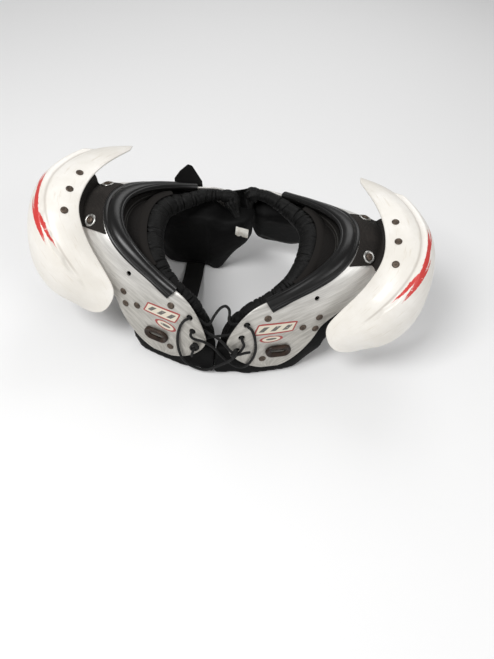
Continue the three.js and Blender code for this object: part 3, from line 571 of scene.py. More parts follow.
def eased(line, spacing, reach):
    # the line at even spacing, each point the bell-weighted mean of its neighbours in reach
    seam = np.concatenate([[0], np.linalg.norm(np.diff(line, axis=0), axis=1).cumsum()])
    count = int(round(seam[-1] / spacing)) + 1
    at = np.linspace(0, seam[-1], count)
    even = np.stack([np.interp(at, seam, line[:, k]) for k in range(3)], 1)
    pad = int(3 * reach / spacing)
    weight = np.exp(-0.5 * (np.arange(-pad, pad + 1) * spacing / reach) ** 2)
    weight /= weight.sum()
    long = np.vstack([2 * even[0] - even[pad:0:-1], even, 2 * even[-1] - even[-2:-pad - 2:-1]])
    return np.stack([np.convolve(long[:, k], weight, "valid") for k in range(3)], 1)


def tubeAlong(line, radius, sideCount):
    # rings square to the line, their frames carried along it without twist
    run = unit(np.gradient(line, axis=0))
    across = np.zeros_like(run)
    across[0] = unit(np.cross(run[0], [0.3, 0.2, 1.0]))
    for k in range(1, len(run)):
        across[k] = unit(across[k - 1] - run[k] * (across[k - 1] @ run[k]))
    up = np.cross(run, across)
    angle = roundAngles(sideCount)
    radius = np.broadcast_to(np.asarray(radius, float).reshape(-1, 1, 1), (len(line), 1, 1))
    return (line[:, None] + radius * (across[:, None] * np.cos(angle)[None, :, None]
                                      + up[:, None] * np.sin(angle)[None, :, None]))


def makeLace():
    # a tube along the eased line, with a few tight turns round it at each knot
    line = throughPoints(np.array(lace["route"], float), lace["perPoint"])
    line = eased(line, lace["spacing"], lace["ease"])
    length = np.linalg.norm(np.diff(line, axis=0), axis=1).sum()
    radius = np.full(len(line), lace["diameter"] / 2)
    radius[[0, -1]] *= lace["endShare"]
    rings = tubeAlong(line, radius, lace["sides"])
    piece = tubeMesh("lace_cord", rings, [length, math.pi * lace["diameter"]])
    keep(piece, finish["lace"], "lace", "lace")
    knots, tie = [], lace["tie"]
    route = np.array(lace["route"], float)
    for node, place in lace["knots"].items():
        at = route[place]
        along = unit(at - route[place + 1 if place > 0 else place - 1])
        side = unit(np.cross(along, [0.2, 0.1, 1.0]))
        up = np.cross(along, side)
        turn = np.linspace(0, tie["turns"] * 2 * math.pi, tie["points"])
        wide = tie["reach"] - tie["waver"] * np.cos(turn * tie["waverRate"])
        coil = (at + wide[:, None] * (np.cos(turn)[:, None] * side + np.sin(turn)[:, None] * up)
                + (turn / turn[-1] - 0.5)[:, None] * tie["height"] * along)
        rings = tubeAlong(coil, np.full(tie["points"], tie["radius"]), tie["sides"])
        knot = tubeMesh(node + "_turns", rings, [60, 11])
        knots.append(keep(knot, finish["lace"], "lace", node))
    return length


laceLength = makeLace()
print("lace laid,", round(laceLength), "mm")

# ---- the arches
plate = {
    "thickness": 3.0, "endRound": 0.09, "endMargin": 0.012,
    "outerTrim": {"left": 0.17, "right": 0.11, "rear": 0.07},
    "rows": 220, "columns": 44, "size": (520.0, 120.0), "evenRows": 0.55,
    "cutSides": 32, "cutReach": 14,
    "laceHoles": [[0.163, 0.073], [0.116, 0.104], [0.069, 0.107]], "laceHoleRadius": 4.8,
    "vent": [0.268, 0.468], "ventRadius": 3.6,
    "rivets": [[0.141, 0.641], [0.127, 0.788], [0.178, 0.738], [0.187, 0.21], [0.038, 0.381]],
    "belt": [0.06, 0.512], "slot": (22.0, 7.0),
}
archRows = np.array([
    # innerX innerY innerZ  outerX outerY outerZ  bulge
    [5.3, -100, 5.4, 66.4, -71.8, 5.4, 4], [5.6, -96, 35.6, 70.8, -66.2, 36.4, 5],
    [9.6, -92.8, 52.1, 75.1, -59.4, 49.1, 6], [19.9, -82.9, 72.1, 80.3, -53.7, 64, 7],
    [35.6, -69.9, 75.6, 87.1, -44.9, 75.7, 8], [53.9, -55.8, 87.9, 94.3, -32.1, 85, 8.9],
    [67.4, -37.6, 96.9, 98.6, -18.9, 90.9, 10.3], [72.1, -13, 101.1, 100.6, 0.1, 93.2, 9.8],
    [69.7, 10.7, 99.3, 99, 18.6, 90.9, 10.3], [59.4, 30.4, 95.9, 95.4, 33.1, 84.9, 8.9],
    [45.4, 51, 87.5, 87.5, 49.1, 75.7, 8], [28.7, 65.5, 80, 80.1, 62.7, 63.7, 7],
    [7.3, 75.3, 79.7, 75.3, 69.4, 50, 6], [5.9, 79.4, 52.9, 69.9, 75.1, 33.2, 5],
    [6.2, 84, 21.5, 64.6, 80.1, 10.8, 4]], float)


def archSkin(side, u, v):
    # straight ruling from the inner to the outer edge, bulged by 4 b v (1 - v) along its
    # normal, the rear part swung out and up as the pad stands
    u, v = np.broadcast_arrays(np.asarray(u, float), np.asarray(v, float))
    place = u * (len(archRows) - 1)
    row, ahead, behind = (rowAt(archRows, place + d) for d in (0, 0.05, -0.05))
    inner, outer = row[..., :3] * archScale, row[..., 3:6] * archScale
    run = (ahead[..., :3] + ahead[..., 3:6] - behind[..., :3] - behind[..., 3:6]) * archScale
    across = outer - inner
    out = unit(np.cross(across, run))
    v = v[..., None]
    point = inner + across * v + out * row[..., 6:7] * 4 * v * (1 - v)
    return settle(point, u, side)


def settle(point, along, side):
    weight = smooth((along - 0.5) / 0.45) * (1 - point[..., 2] / (100 * archScale[2]))
    shift = np.stack([0 * weight, side["rearFlare"] * weight, side["rearLift"] * weight], -1)
    return point + shift


def onArch(side, u, v, h=0.0):
    # place, outward normal and the two directions of the top face, mirrored for the right
    step = 1e-3
    run = archSkin(side, np.add(u, step), v) - archSkin(side, np.subtract(u, step), v)
    across = archSkin(side, u, np.add(v, step)) - archSkin(side, u, np.subtract(v, step))
    normal = unit(np.cross(across, run))
    point = archSkin(side, u, v) + normal * np.asarray(h, float)[..., None]
    mirror = np.array([side["sign"], 1, 1])
    return point * mirror, normal * mirror, unit(run) * mirror, unit(across) * mirror


def upright(normal):
    # the level direction across a face and the one that rises along it
    level = unit(np.cross([0, 0, 1.0], normal))
    return level, np.cross(normal, level)


def archWidth(side, u):
    return np.linalg.norm(archSkin(side, u, 0) - archSkin(side, u, 1), axis=-1)


def plateLimits(side, u):
    fromEnd = np.minimum(u, 1 - u)
    s = np.clip((fromEnd - plate["endMargin"]) / plate["endRound"], 0, 1)
    half = np.sqrt(1 - (1 - s) ** 2)
    # the chest's lower outer corner is cut back, differently on the two plates
    cut = np.where(u < 0.5, plate["outerTrim"][side["name"]], plate["outerTrim"]["rear"])
    outer = 0.5 - cut * (1 - smooth((fromEnd - 0.12) / 0.13))
    return 0.5 - 0.5 * half, 0.5 + outer * half


def drillBars(side):
    # one mesh of all the round and slotted cutters of a plate
    count = plate["cutSides"]
    circle = roundAngles(count)
    points, faces = [], []
    bars = [(u, v, plate["laceHoleRadius"], 0) for u, v in plate["laceHoles"]]
    bars.append((*plate["vent"], plate["ventRadius"], 0))
    length, height = plate["slot"]
    bars.append((*plate["belt"], height / 2, (length - height) / 2))
    for u, v, radius, stretch in bars:
        at, normal, _, _ = onArch(side, u, v)
        level, rise = upright(normal)
        ring = (radius * np.cos(circle) + stretch * np.sign(np.cos(circle) + 1e-9))[:, None] \
            * level + (radius * np.sin(circle))[:, None] * rise
        start = len(points) * count
        points += [at + ring + reach * normal for reach in (-plate["cutReach"], plate["cutReach"])]
        near = start + np.arange(count)
        ahead = start + (np.arange(count) + 1) % count
        faces += np.stack([near, ahead, ahead + count, near + count], 1).tolist()
        faces += [near[::-1].tolist(), (near + count).tolist()]
    mesh = bpy.data.meshes.new("cutters")
    mesh.from_pydata(metres(np.concatenate(points)).tolist(), [], faces)
    cutter = bpy.data.objects.new("cutters", mesh)
    scene.collection.objects.link(cutter)
    return cutter


def baked(piece):
    # the piece with its modifiers worked out into plain mesh
    graph = bpy.context.evaluated_depsgraph_get()
    mesh = bpy.data.meshes.new_from_object(piece.evaluated_get(graph))
    piece.modifiers.clear()
    piece.data = mesh
    return piece


def makePlate(side):
    w = np.linspace(0, 1, plate["rows"])
    low = plate["endMargin"] + 0.002
    u = mix(low, 1 - low, mix(w, 0.5 - 0.5 * np.cos(math.pi * w), plate["evenRows"]))
    inner, outer = plateLimits(side, u)
    v = mix(inner[:, None], outer[:, None], np.linspace(0, 1, plate["columns"])[None])
    faces = [onArch(side, u[:, None], v, h)[0] for h in (0, -plate["thickness"])]
    piece = shellMesh(side["name"] + "_plate", *faces, plate["size"])
    cutter = drillBars(side)
    cut = piece.modifiers.new("holes", "BOOLEAN")
    cut.operation, cut.object, cut.solver = "DIFFERENCE", cutter, "EXACT"
    baked(piece)
    piece.data.set_sharp_from_angle(angle=math.radians(50))
    bpy.data.objects.remove(cutter)
    return keep(piece, finish["plate"], "plate", side["name"] + "_shoulder_arch")


trim = {"start": 0.25, "end": 0.775, "rows": 150, "length": 430.0, "chestShare": 0.62, "profile": [
    # distance from the plate's edge, height over its face
    [-5, -5], [-5.7, -4.2], [-6.2, -2.6], [-6.4, -0.8], [-6.2, 1.0], [-5.5, 2.7], [-4.5, 3.9],
    [-3.4, 4.4], [-2.7, 4.3], [-2.3, 4.1], [-1.9, 4.5], [-0.6, 5.1], [1.2, 5.5], [3.4, 5.6],
    [6, 5.4], [8.4, 4.9], [10.4, 4.2], [12, 3.2], [13.1, 2.2], [13.7, 1.75], [14.2, 1.8],
    [14.7, 2.2], [16, 2.45], [17.6, 2.4], [18.7, 2.1], [19.05, 1.5], [19, 0.9], [12.5, 0.9],
    [6.3, 0.9], [-1, 0.9], [-1, -5]]}


def squareFromEdge(side, u, a, h):
    # distance a square to the inner edge, turned into shares of run and width
    step = 1e-3
    _, _, run, across = onArch(side, u, 0)
    ends = [onArch(side, u + d, 0)[0] for d in (step, -step)]
    speed = np.linalg.norm(ends[0] - ends[1], axis=-1) / (2 * step)
    lean = (run * across).sum(-1)
    reach = a / np.sqrt(1 - lean**2)
    return onArch(side, u - reach * lean / speed, reach / archWidth(side, u), h)[0]


def makeTrim(side):
    profile = np.array(trim["profile"], float)
    u = np.linspace(trim["start"], trim["end"], trim["rows"])[:, None]
    u, a = np.broadcast_arrays(u, profile[None, :, 0])
    h = np.broadcast_to(profile[None, :, 1], a.shape)
    # the flange narrows toward the chest end
    a = np.maximum(a, 0) * mix(trim["chestShare"], 1, smooth((u - 0.25) / 0.2)) + np.minimum(a, 0)
    rings = squareFromEdge(side, u, a, h)
    girth = np.linalg.norm(np.diff(profile, axis=0, append=profile[:1]), axis=1)
    piece = tubeMesh(side["name"] + "_edge_trim", rings, [trim["length"], girth.sum()], 38)
    spreadColumns(piece, girth)
    return keep(piece, finish["vinyl"], "trim", side["name"] + "_neck_trim")


def respread(piece, even, true, length):
    # first uv share remapped from the row count to the true share along the piece
    uv = readUv(piece)
    uv[:, 0] = np.interp(uv[:, 0] / length, even, true) * length
    writeUv(piece, uv)


def spreadColumns(piece, girth):
    # uv across a profile by its true arc length instead of by point count
    uv = readUv(piece)
    place = uv[:, 1] / girth.sum() * len(girth)
    uv[:, 1] = np.interp(place, np.arange(len(girth) + 1), np.concatenate([[0], girth.cumsum()]))
    writeUv(piece, uv)


for side in sides.values():
    makePlate(side)
    makeTrim(side)
print("plates and neck trim made")

# ---- shoulder caps on their webbing
cap = {"thickness": 3.0, "standOff": 7.0, "emboss": 5.4, "turn": (1.74, 0.0, -0.86),
       "shift": (1.2, -7.0, -1.1), "rows": 190, "columns": 90, "size": (300.0, 100.0),
       "tips": (0.13, 0.05),
       "lobes": {"reach": 0.034, "start": 0.2, "pitch": 0.085, "end": 0.52, "fade": 0.08},
       "crescent": {"border": 0.385, "ramp": 0.07, "start": 0.13, "rise": 0.15, "end": 0.86,
                    "fall": 0.05},
       "rivets": [[0.453, 0.142], [0.561, 0.108], [0.662, 0.102]]}
capRows = np.array([
    # innerX innerY innerZ  crownX crownY crownZ  rimX rimY rimZ
    [-46, -79, -84, -30, -84, -95, -14, -81, -107],
    [-48.3, -75, -71.6, -22.8, -86.2, -82.3, -0.8, -76.3, -106.2],
    [-23.7, -61, -46.5, 8.2, -92.3, -46.8, 24.1, -77.7, -89],
    [-6.9, -53.1, -30.3, 38, -84.5, -6.3, 54.5, -68.8, -77.7],
    [9.4, -38.8, -12.2, 67.8, -61.8, 12.1, 75.9, -55.2, -56.3],
    [17.4, -25.9, 1.2, 86.8, -34.3, 23.8, 86, -34.5, -45.3],
    [17, -1.5, 7.5, 95.2, -4.8, 30.6, 90.1, -5, -38.7],
    [10.7, 20.1, 11, 90.6, 23.6, 27.6, 81.6, 24.4, -34.1],
    [0.1, 47.3, 8.5, 64.6, 54.2, 26.9, 63.5, 51.4, -29],
    [-11.3, 72.7, 2.9, 29.1, 83.4, 14.8, 36.4, 75.9, -18],
    [-21, 94, -2, -13, 98, -2, -11, 95, -7]], float)


def capSkin(t, r):
    # quadratic curve inner edge - crown - rim across each station
    t, r = np.broadcast_arrays(np.asarray(t, float), np.asarray(r, float))
    row = rowAt(capRows, t * (len(capRows) - 1))
    r = r[..., None]
    return (row[..., :3] * (1 - r) ** 2 + row[..., 3:6] * 2 * r * (1 - r)
            + row[..., 6:] * r * r) * capScale


def turnMatrix(degrees):
    x, y, z = np.radians(degrees)
    rx = np.array([[1, 0, 0], [0, math.cos(x), -math.sin(x)], [0, math.sin(x), math.cos(x)]])
    ry = np.array([[math.cos(y), 0, math.sin(y)], [0, 1, 0], [-math.sin(y), 0, math.cos(y)]])
    rz = np.array([[math.cos(z), -math.sin(z), 0], [math.sin(z), math.cos(z), 0], [0, 0, 1]])
    return rx @ ry @ rz


def onCap(side, t, r, h=0.0):
    # as capSkin, with the raised crescent, set on the arch's shoulder and mirrored
    t, r = np.broadcast_arrays(np.asarray(t, float), np.asarray(r, float))
    step = 1e-3
    run = capSkin(t + step, r) - capSkin(t - step, r)
    across = capSkin(t, r + step) - capSkin(t, r - step)
    normal = unit(np.cross(across, run))
    # the crescent's near border runs in four lobes over the front half
    lobe, crescent = cap["lobes"], cap["crescent"]
    lobes = lobe["reach"] * np.abs(np.sin((t - lobe["start"]) * math.pi / lobe["pitch"])) \
        * smooth((lobe["end"] - t) / lobe["fade"])
    raised = cap["emboss"] * smooth((r - crescent["border"] - lobes) / crescent["ramp"]) \
        * smooth((t - crescent["start"]) / crescent["rise"]) \
        * smooth((crescent["end"] - t) / crescent["fall"])
    point = capSkin(t, r) + normal * (raised + h)[..., None]
    turn = turnMatrix(np.array(cap["turn"]) * side["sign"]).T
    hinge = onArch({**side, "sign": 1}, 0.5, 0.5, cap["standOff"])[0]
    point = point @ turn + hinge + np.array(cap["shift"]) * side["sign"]
    mirror = np.array([side["sign"], 1, 1])
    return point * mirror, (normal @ turn) * mirror, unit(run @ turn) * mirror


def makeCap(side):
    # the strip of width narrows over both tips as a quarter ellipse
    w = np.linspace(0, 1, cap["rows"])[:, None]
    t = mix(0.002, 0.998, mix(w, 0.5 - 0.5 * np.cos(math.pi * w), 0.5))
    fromTip = np.clip(np.minimum(t / cap["tips"][0], (1 - t) / cap["tips"][1]), 0, 1)
    half = 0.5 * np.sqrt(1 - (1 - fromTip) ** 2)
    r = mix(0.5 - half, 0.5 + half, np.linspace(0, 1, cap["columns"])[None])
    top, bottom = (onCap(side, t, r, h)[0] for h in (0.0, -cap["thickness"]))
    piece = shellMesh(side["name"] + "_cap_shell", top, bottom, cap["size"])
    respread(piece, np.linspace(0, 1, cap["rows"]), t[:, 0], cap["size"][0])
    return keep(piece, finish["shell"], "shell", side["name"] + "_shoulder_cap")


web = {"thickness": 1.6, "seat": 1.05, "start": 0.395, "end": 0.6, "leaveV": 0.73,
       "firstR": 0.02, "lastR": 0.2, "trimWidth": 19.0, "gap": 0.6, "capRun": (0.4, 0.7),
       "columns": 60, "plateRows": 22, "riseRows": 14, "capRows": 12, "size": (90.0, 118.0)}


def makeWeb(side):
    # on the plate, then a cubic rise, then under the cap; three blocks of rows joined
    k = np.linspace(0, 1, web["columns"])[None]
    u, t = mix(web["start"], web["end"], k), mix(*web["capRun"], k)
    _, _, run, across = onArch(side, u, 0)
    square = np.sqrt(1 - (run * across).sum(-1) ** 2)
    first = (web["trimWidth"] + web["gap"]) / (archWidth(side, u) * square)

    def layer(h):
        def onPlate(v):
            return onArch(side, u, v, web["seat"] + h)[0]

        def underCap(r):
            drop = h - cap["thickness"] - web["seat"] - web["thickness"]
            return onCap(side, t, r, drop)[0]
        a, b = (np.linspace(0, 1, web[key])[:, None] for key in ("plateRows", "capRows"))
        low = onPlate(mix(first, web["leaveV"], a))
        high = underCap(mix(web["firstR"], web["lastR"], b))
        start, stop = low[-1], high[0]
        reach = np.linalg.norm(stop - start, axis=-1, keepdims=True) / 3
        one = start + unit(start - onPlate(web["leaveV"] - 0.02)[0]) * reach
        two = stop + unit(stop - underCap(web["firstR"] + 0.02)[0]) * reach
        s = np.linspace(0, 1, web["riseRows"])[1:-1, None, None]
        rise = (start * (1 - s) ** 3 + 3 * one * s * (1 - s) ** 2 + 3 * two * s * s * (1 - s)
                + stop * s**3)
        return np.concatenate([low, rise, high])

    piece = shellMesh(side["name"] + "_web_band", layer(web["thickness"]), layer(0.0),
                      web["size"], 2)
    return keep(piece, finish["hingeWeb"], "webbing", side["name"] + "_hinge_web")


for side in sides.values():
    makeCap(side)
    makeWeb(side)
print("caps and webbing made")

# ---- fasteners, each a profile turned about the normal of what it sits on
fastener = {
    "proud": 0.3, "headLift": 1.5,
    "webRivets": [["front", 0.422, 0.585], ["rear", 0.58, 0.5]],
    "head": [[0, -0.2], [2.4, -0.2], [5.2, 0], [5.25, 0.35], [4.9, 0.8], [4.2, 1.25], [3.2, 1.6],
             [2.2, 1.78], [1.7, 1.7], [1.5, 1.35], [0.9, 1.1], [0, 1.05]],
    "lowHead": [[0, 0], [2.4, 0], [5.2, 0], [5.2, 0.3], [4.8, 0.7], [4.0, 1.05], [2.6, 1.25],
                [1.6, 1.2], [1.3, 0.95], [0.7, 0.85], [0, 0.85]],
    "washer": [[2.8, 0], [9, 0], [9.1, 0.35], [8.8, 0.9], [8.1, 1.3], [7.2, 1.35], [6.3, 1.1],
               [5.7, 0.8], [4, 0.8], [2.8, 0.8]],
    "shank": [[0, -9.2], [3.2, -9.2], [3.2, -8], [2.4, -8], [2.4, 0], [0, 0]],
}


def spokes(normal, run, sideCount):
    # unit directions round the normal, the first of them square to the run
    level = unit(np.cross(run, normal))
    angle = roundAngles(sideCount)[:, None]
    return np.cos(angle) * level + np.sin(angle) * np.cross(normal, level)


def turned(name, profile, at, normal, run, sideCount=28):
    # surface of revolution of (radius, height) about the normal at a place
    profile = np.array(profile, float)
    ring = spokes(normal, run, sideCount)
    radius = np.maximum(profile[:, 0], 0.02)
    rings = at + radius[:, None, None] * ring[None] + profile[:, 1][:, None, None] * normal
    return tubeMesh(name, rings, [12.0, 2 * math.pi * 5], 35)


def closedRing(name, profile, at, normal, run, sideCount=36):
    # the same of a closed profile that keeps clear of the middle
    profile = np.array(profile, float)
    ring = spokes(normal, run, sideCount)
    rings = at + profile[None, :, 0, None] * ring[:, None] + profile[None, :, 1, None] * normal
    return ringMesh(name, rings, [50.0, 20.0], 35)


def makeFasteners(side):
    name = side["name"]
    onWeb = web["seat"] + web["thickness"] + fastener["proud"]
    for end, u, v in fastener["webRivets"]:
        at, normal, run, _ = onArch(side, u, v, onWeb)
        ring = closedRing(f"{name}_{end}_ring", fastener["washer"], at, normal, run)
        keep(ring, finish["nickel"], "nickel", f"{name}_{end}_washer")
        at, normal, run, _ = onArch(side, u, v, onWeb + fastener["headLift"])
        head = turned(f"{name}_{end}_rivet_head", fastener["shank"][:-1] + fastener["head"][2:],
                      at, normal, run)
        keep(head, finish["bronze"], "bronze", f"{name}_{end}_rivet")
    for index, (t, r) in enumerate(cap["rivets"]):
        at, normal, run = onCap(side, t, r, fastener["proud"])
        head = turned(f"{name}_cap_rivet_head_{index + 1}", fastener["lowHead"], at, normal, run)
        keep(head, finish["bronze"], "bronze", f"{name}_cap_rivet_{index + 1}")
    for index, (u, v) in enumerate(plate["rivets"]):
        at, normal, run, _ = onArch(side, u, v, fastener["proud"])
        head = turned(f"{name}_plate_rivet_head_{index + 1}", fastener["head"], at, normal, run)
        keep(head, finish["bronze"], "bronze", f"{name}_plate_rivet_{index + 1}")


# ---- belt bezels: a rounded oval wall round the slot, with a sunk floor
bezel = {"length": 38.0, "height": 22.0, "sides": 72, "section": [
    # share of the way from the outer outline to the slot, height
    [0.0, 0.0], [0.0, 2.2], [0.05, 3.6], [0.16, 4.4], [0.32, 4.5], [0.5, 4.1], [0.66, 3.2],
    [0.8, 2.6], [0.93, 2.4], [1.0, 2.0], [1.0, 0.0]]}


def makeBezel(side):
    at, normal, _, _ = onArch(side, *plate["belt"], 0.8)
    level, rise = upright(normal)
    section = np.array(bezel["section"], float)
    angle = roundAngles(bezel["sides"])

    def oval(length, height):
        r = height / 2
        return (r * np.cos(angle) + (length / 2 - r) * np.tanh(6 * np.cos(angle)))[:, None] \
            * level + (r * np.sin(angle))[:, None] * rise
    outer, inner = oval(bezel["length"], bezel["height"]), oval(*plate["slot"])
    rings = at + mix(outer[:, None], inner[:, None], section[None, :, :1]) \
        + section[None, :, 1:] * normal
    piece = ringMesh(side["name"] + "_slot_bezel", rings, [100.0, 30.0], 45)
    return keep(piece, finish["bezel"], "bezel", side["name"] + "_belt_bezel")


for side in sides.values():
    makeFasteners(side)
    makeBezel(side)
print("fasteners and bezels made")

# ---- foam cushions in nylon, blown up a little by simulation
cushions = {
    "gap": 1.0, "relief": 5.5, "squareness": 0.42, "spread": 18.0, "voxel": 0.004,
    "rings": 34, "sides": 44, "grow": 0.9, "mostMove": 4.0, "mostSink": 0.4,
    "pressure": 5.0, "frames": 12, "quality": 5, "mass": 0.3, "stiffness": 12, "bending": 0.05,
    "chest": {
        "left": {"centre": -1.8, "inner": -0.12, "outer": 1.01, "floor": 0, "thickness": 34},
        "right": {"centre": 2.2, "inner": -0.08, "outer": 0.84, "floor": 0, "thickness": 34}},
    "back": {
        "left": {"centre": 19.0, "inner": 0.05, "outer": 0.98, "floor": 34, "thickness": 34,
                 "bottom": 1.015},
        "right": {"centre": -27, "inner": -0.3, "outer": 0.93, "floor": 0, "thickness": 46,
                  "bottom": 1.1}},
}


def chestLimits(v, _):
    # lower and upper end of a chest cushion along the plate, at a share v of its width
    return (-0.06 + 0.075 * smooth((v - 0.5) / 0.5) ** 1.5,
            mix(0.058, 0.285, smooth(v / 0.5)))


def backLimits(v, shape):
    # the same of a back cushion, whose upper end comes first
    return (mix(0.9, 0.715, smooth(v / 0.4)),
            shape["bottom"] - 0.07 * smooth((v - 0.55) / 0.45) - 0.12 * smooth((0.3 - v) / 0.56))


def pastArch(side, u, v, h):
    # a place under the arch, carried on straight past the ends of its run
    end = np.clip(u, 0, 1)
    step = 1e-3
    point, _, run, _ = onArch(side, end, v, h)
    speed = np.linalg.norm(archSkin(side, end + step, v) - archSkin(side, end - step, v),
                           axis=-1) / (2 * step)
    return point + run * ((u - end) * speed)[..., None]


def cushionRings(side, shape, limits, inset):
    # rounded boxes across the plate, each a superellipse of run and depth
    w = np.linspace(0, 1, cushions["rings"])[:, None]
    angle = roundAngles(cushions["sides"])[None]

    def bulge(x):
        return np.sign(x) * np.abs(x) ** cushions["squareness"]
    v = mix(shape["inner"], shape["outer"], w)
    low, high = limits(v, shape)
    end = np.sqrt(1 - np.abs(2 * w - 1) ** 6)
    half = (high - low) / 2 * mix(0.86, 1, end)
    thickness = shape["thickness"] * mix(0.35, 1, end)
    gap = cushions["gap"] + cushions["relief"] * smooth((0.24 - v) / 0.08)
    u = (low + high) / 2 + half * bulge(np.cos(angle))
    depth = gap + thickness * (0.5 - 0.5 * bulge(np.sin(angle)))
    point = pastArch(side, u, v, -plate["thickness"] - depth)
    point[..., 2] = np.maximum(point[..., 2], shape["floor"] + inset)
    limit = shape["centre"] + cushions["spread"] * w + inset
    point[..., 0] = side["sign"] * np.maximum(side["sign"] * point[..., 0], limit)
    return point


def vectorsOf(collection, name):
    flat = np.zeros(len(collection) * 3, np.float32)
    collection.foreach_get(name, flat)
    return flat.reshape(-1, 3).astype(float)


def movePoints(mesh, points):
    mesh.vertices.foreach_set("co", points.astype(np.float32).ravel())
    mesh.update()


def puff(piece, floor, toward):
    # voxel remesh, then some frames of cloth under pressure; a point moves at most mostMove, and
    # at most mostSink inward, so that the seams keep the cushion's outline; what faces the
    # plate (toward is -1 for the chest's, 1 for the back's) or upward stays put
    remesh = piece.modifiers.new("remesh", "REMESH")
    remesh.mode, remesh.voxel_size = "VOXEL", cushions["voxel"]
    baked(piece)
    mesh = piece.data
    start = vectorsOf(mesh.vertices, "co")
    normal = vectorsOf(mesh.vertex_normals, "vector")
    free = 1 - smooth(np.maximum(toward * normal[:, 1:2], normal[:, 2:]) / 0.35 + 0.3)
    start += normal * free * cushions["grow"] / 1000
    movePoints(mesh, start)
    cloth = piece.modifiers.new("Cloth", "CLOTH")
    settings = cloth.settings
    settings.quality = cushions["quality"]
    settings.mass = cushions["mass"]
    settings.tension_stiffness = settings.compression_stiffness = cushions["stiffness"]
    settings.bending_stiffness = cushions["bending"]
    settings.use_pressure = True
    settings.uniform_pressure_force = cushions["pressure"]
    settings.effector_weights.gravity = 0
    for count in range(1, cushions["frames"] + 1):
        scene.frame_set(count)
    graph = bpy.context.evaluated_depsgraph_get()
    end = vectorsOf(piece.evaluated_get(graph).data.vertices, "co")
    piece.modifiers.clear()
    scene.frame_set(1)
    move = end - start
    swell = (move * normal).sum(1, keepdims=True)
    print(piece.name, "swells", np.round(np.percentile(swell * 1000, [5, 50, 95]), 1), "mm")
    move += normal * np.maximum(0, -cushions["mostSink"] / 1000 - swell)
    size = np.linalg.norm(move, axis=1, keepdims=True)
    move *= free * np.minimum(1, cushions["mostMove"] / 1000 / np.maximum(size, 1e-9))
    end = start + move
    end[:, 2] = np.maximum(end[:, 2], floor / 1000 + 0.0002)
    movePoints(mesh, end)


def makeCushion(side, kind, limits):
    name = side["name"]
    shape = cushions[kind][name]
    rings = cushionRings(side, shape, limits, 0.5)
    node = name + ("_front_cushion" if kind == "chest" else "_back_cushion")
    piece = tubeMesh(node + "_foam", rings, [200.0, 300.0])
    puff(piece, shape["floor"], -1 if kind == "chest" else 1)
    piece.data.shade_smooth()
    rounder = piece.modifiers.new("rounder", "SUBSURF")
    rounder.levels = rounder.render_levels = 1
    keep(piece, finish["nylon"], "cloth", node)


# ---- neck rolls: thin nylon gathered round foam
roll = {"radius": 15.5, "rows": 520, "sides": 48, "size": (480.0, 90.0), "wrinkles": 46, "seed": 5,
        "plump": 1.09, "crease": {"shift": 0.3, "lean": 0.008, "narrow": (0.0014, 0.0026),
                                  "depth": (0.10, 0.26), "most": 0.24},
        "ends": {"right": [[-15, 100, 138], [-9, 93, 129], [0, 82, 117], [9.5, 70.5, 105]],
                 "left": [[17, 110, 138], [16, 105, 130], [18, 101, 124], [19, 99, 119]]},
        "fronts": {"right": [[-27, -113, 85], [-21, -114.5, 71], [-15, -116.5, 57],
                             [-11, -118, 44]],
                   "left": [[26.5, -112, 85], [20.5, -113.5, 71], [14.5, -115.5, 57],
                            [10, -117, 43]]},
        "endSides": 60,
        # size, folds round the girth, phase and twist along the end of each run of pleats
        "pleats": [(0.10, 8, 0, 5), (0.05, 17, 2, 9)],
        # thickness at shares of the way along an end, in roll radii
        "rearGirth": [[0, 0.3], [0.12, 0.62], [0.3, 0.80], [0.45, 0.74], [0.62, 0.42], [0.8, 0.30],
                      [0.96, 0.24], [1, 0.12]],
        "frontGirth": {"right": [[0, 0.3], [0.12, 0.56], [0.35, 0.58], [0.7, 0.52], [0.95, 0.4],
                                 [1, 0.2]],
                       "left": [[0, 0.3], [0.12, 0.7], [0.35, 0.76], [0.7, 0.68], [0.95, 0.5],
                                [1, 0.25]]}}
rollRows = np.array([
    # x y z girth
    [13, -73.5, 51, 0.4], [15.7, -72.1, 55.4, 0.62], [19.9, -69.6, 59.1, 0.68],
    [28.3, -65.4, 64.5, 0.72], [36.3, -57.7, 69.9, 0.78], [41.5, -50.3, 73.1, 0.84],
    [47.3, -37.2, 76.3, 0.95], [51.5, -15.4, 78.5, 1.04], [52.2, 8.3, 79.6, 1.04],
    [49.1, 27, 79.8, 0.98], [40.8, 38, 78.2, 0.82], [32.3, 48, 78, 0.68], [23, 58, 78, 0.6],
    [14, 62, 77.5, 0.55], [11, 62.5, 76.5, 0.4]], float)


def rollAt(side, w):
    row = rowAt(rollRows, np.asarray(w, float) * (len(rollRows) - 1))
    point = settle(row[..., :3] * archScale, np.asarray(w, float), side)
    return point * [side["sign"], 1, 1], row[..., 3] * roll["radius"]


def rollFrame(side, w):
    step = 1e-3
    point, girth = rollAt(side, w)
    run = unit(rollAt(side, w + step)[0] - rollAt(side, w - step)[0])
    level = unit(np.cross([0, 0, 1.0], run))
    return point, girth, run, level, np.cross(run, level)


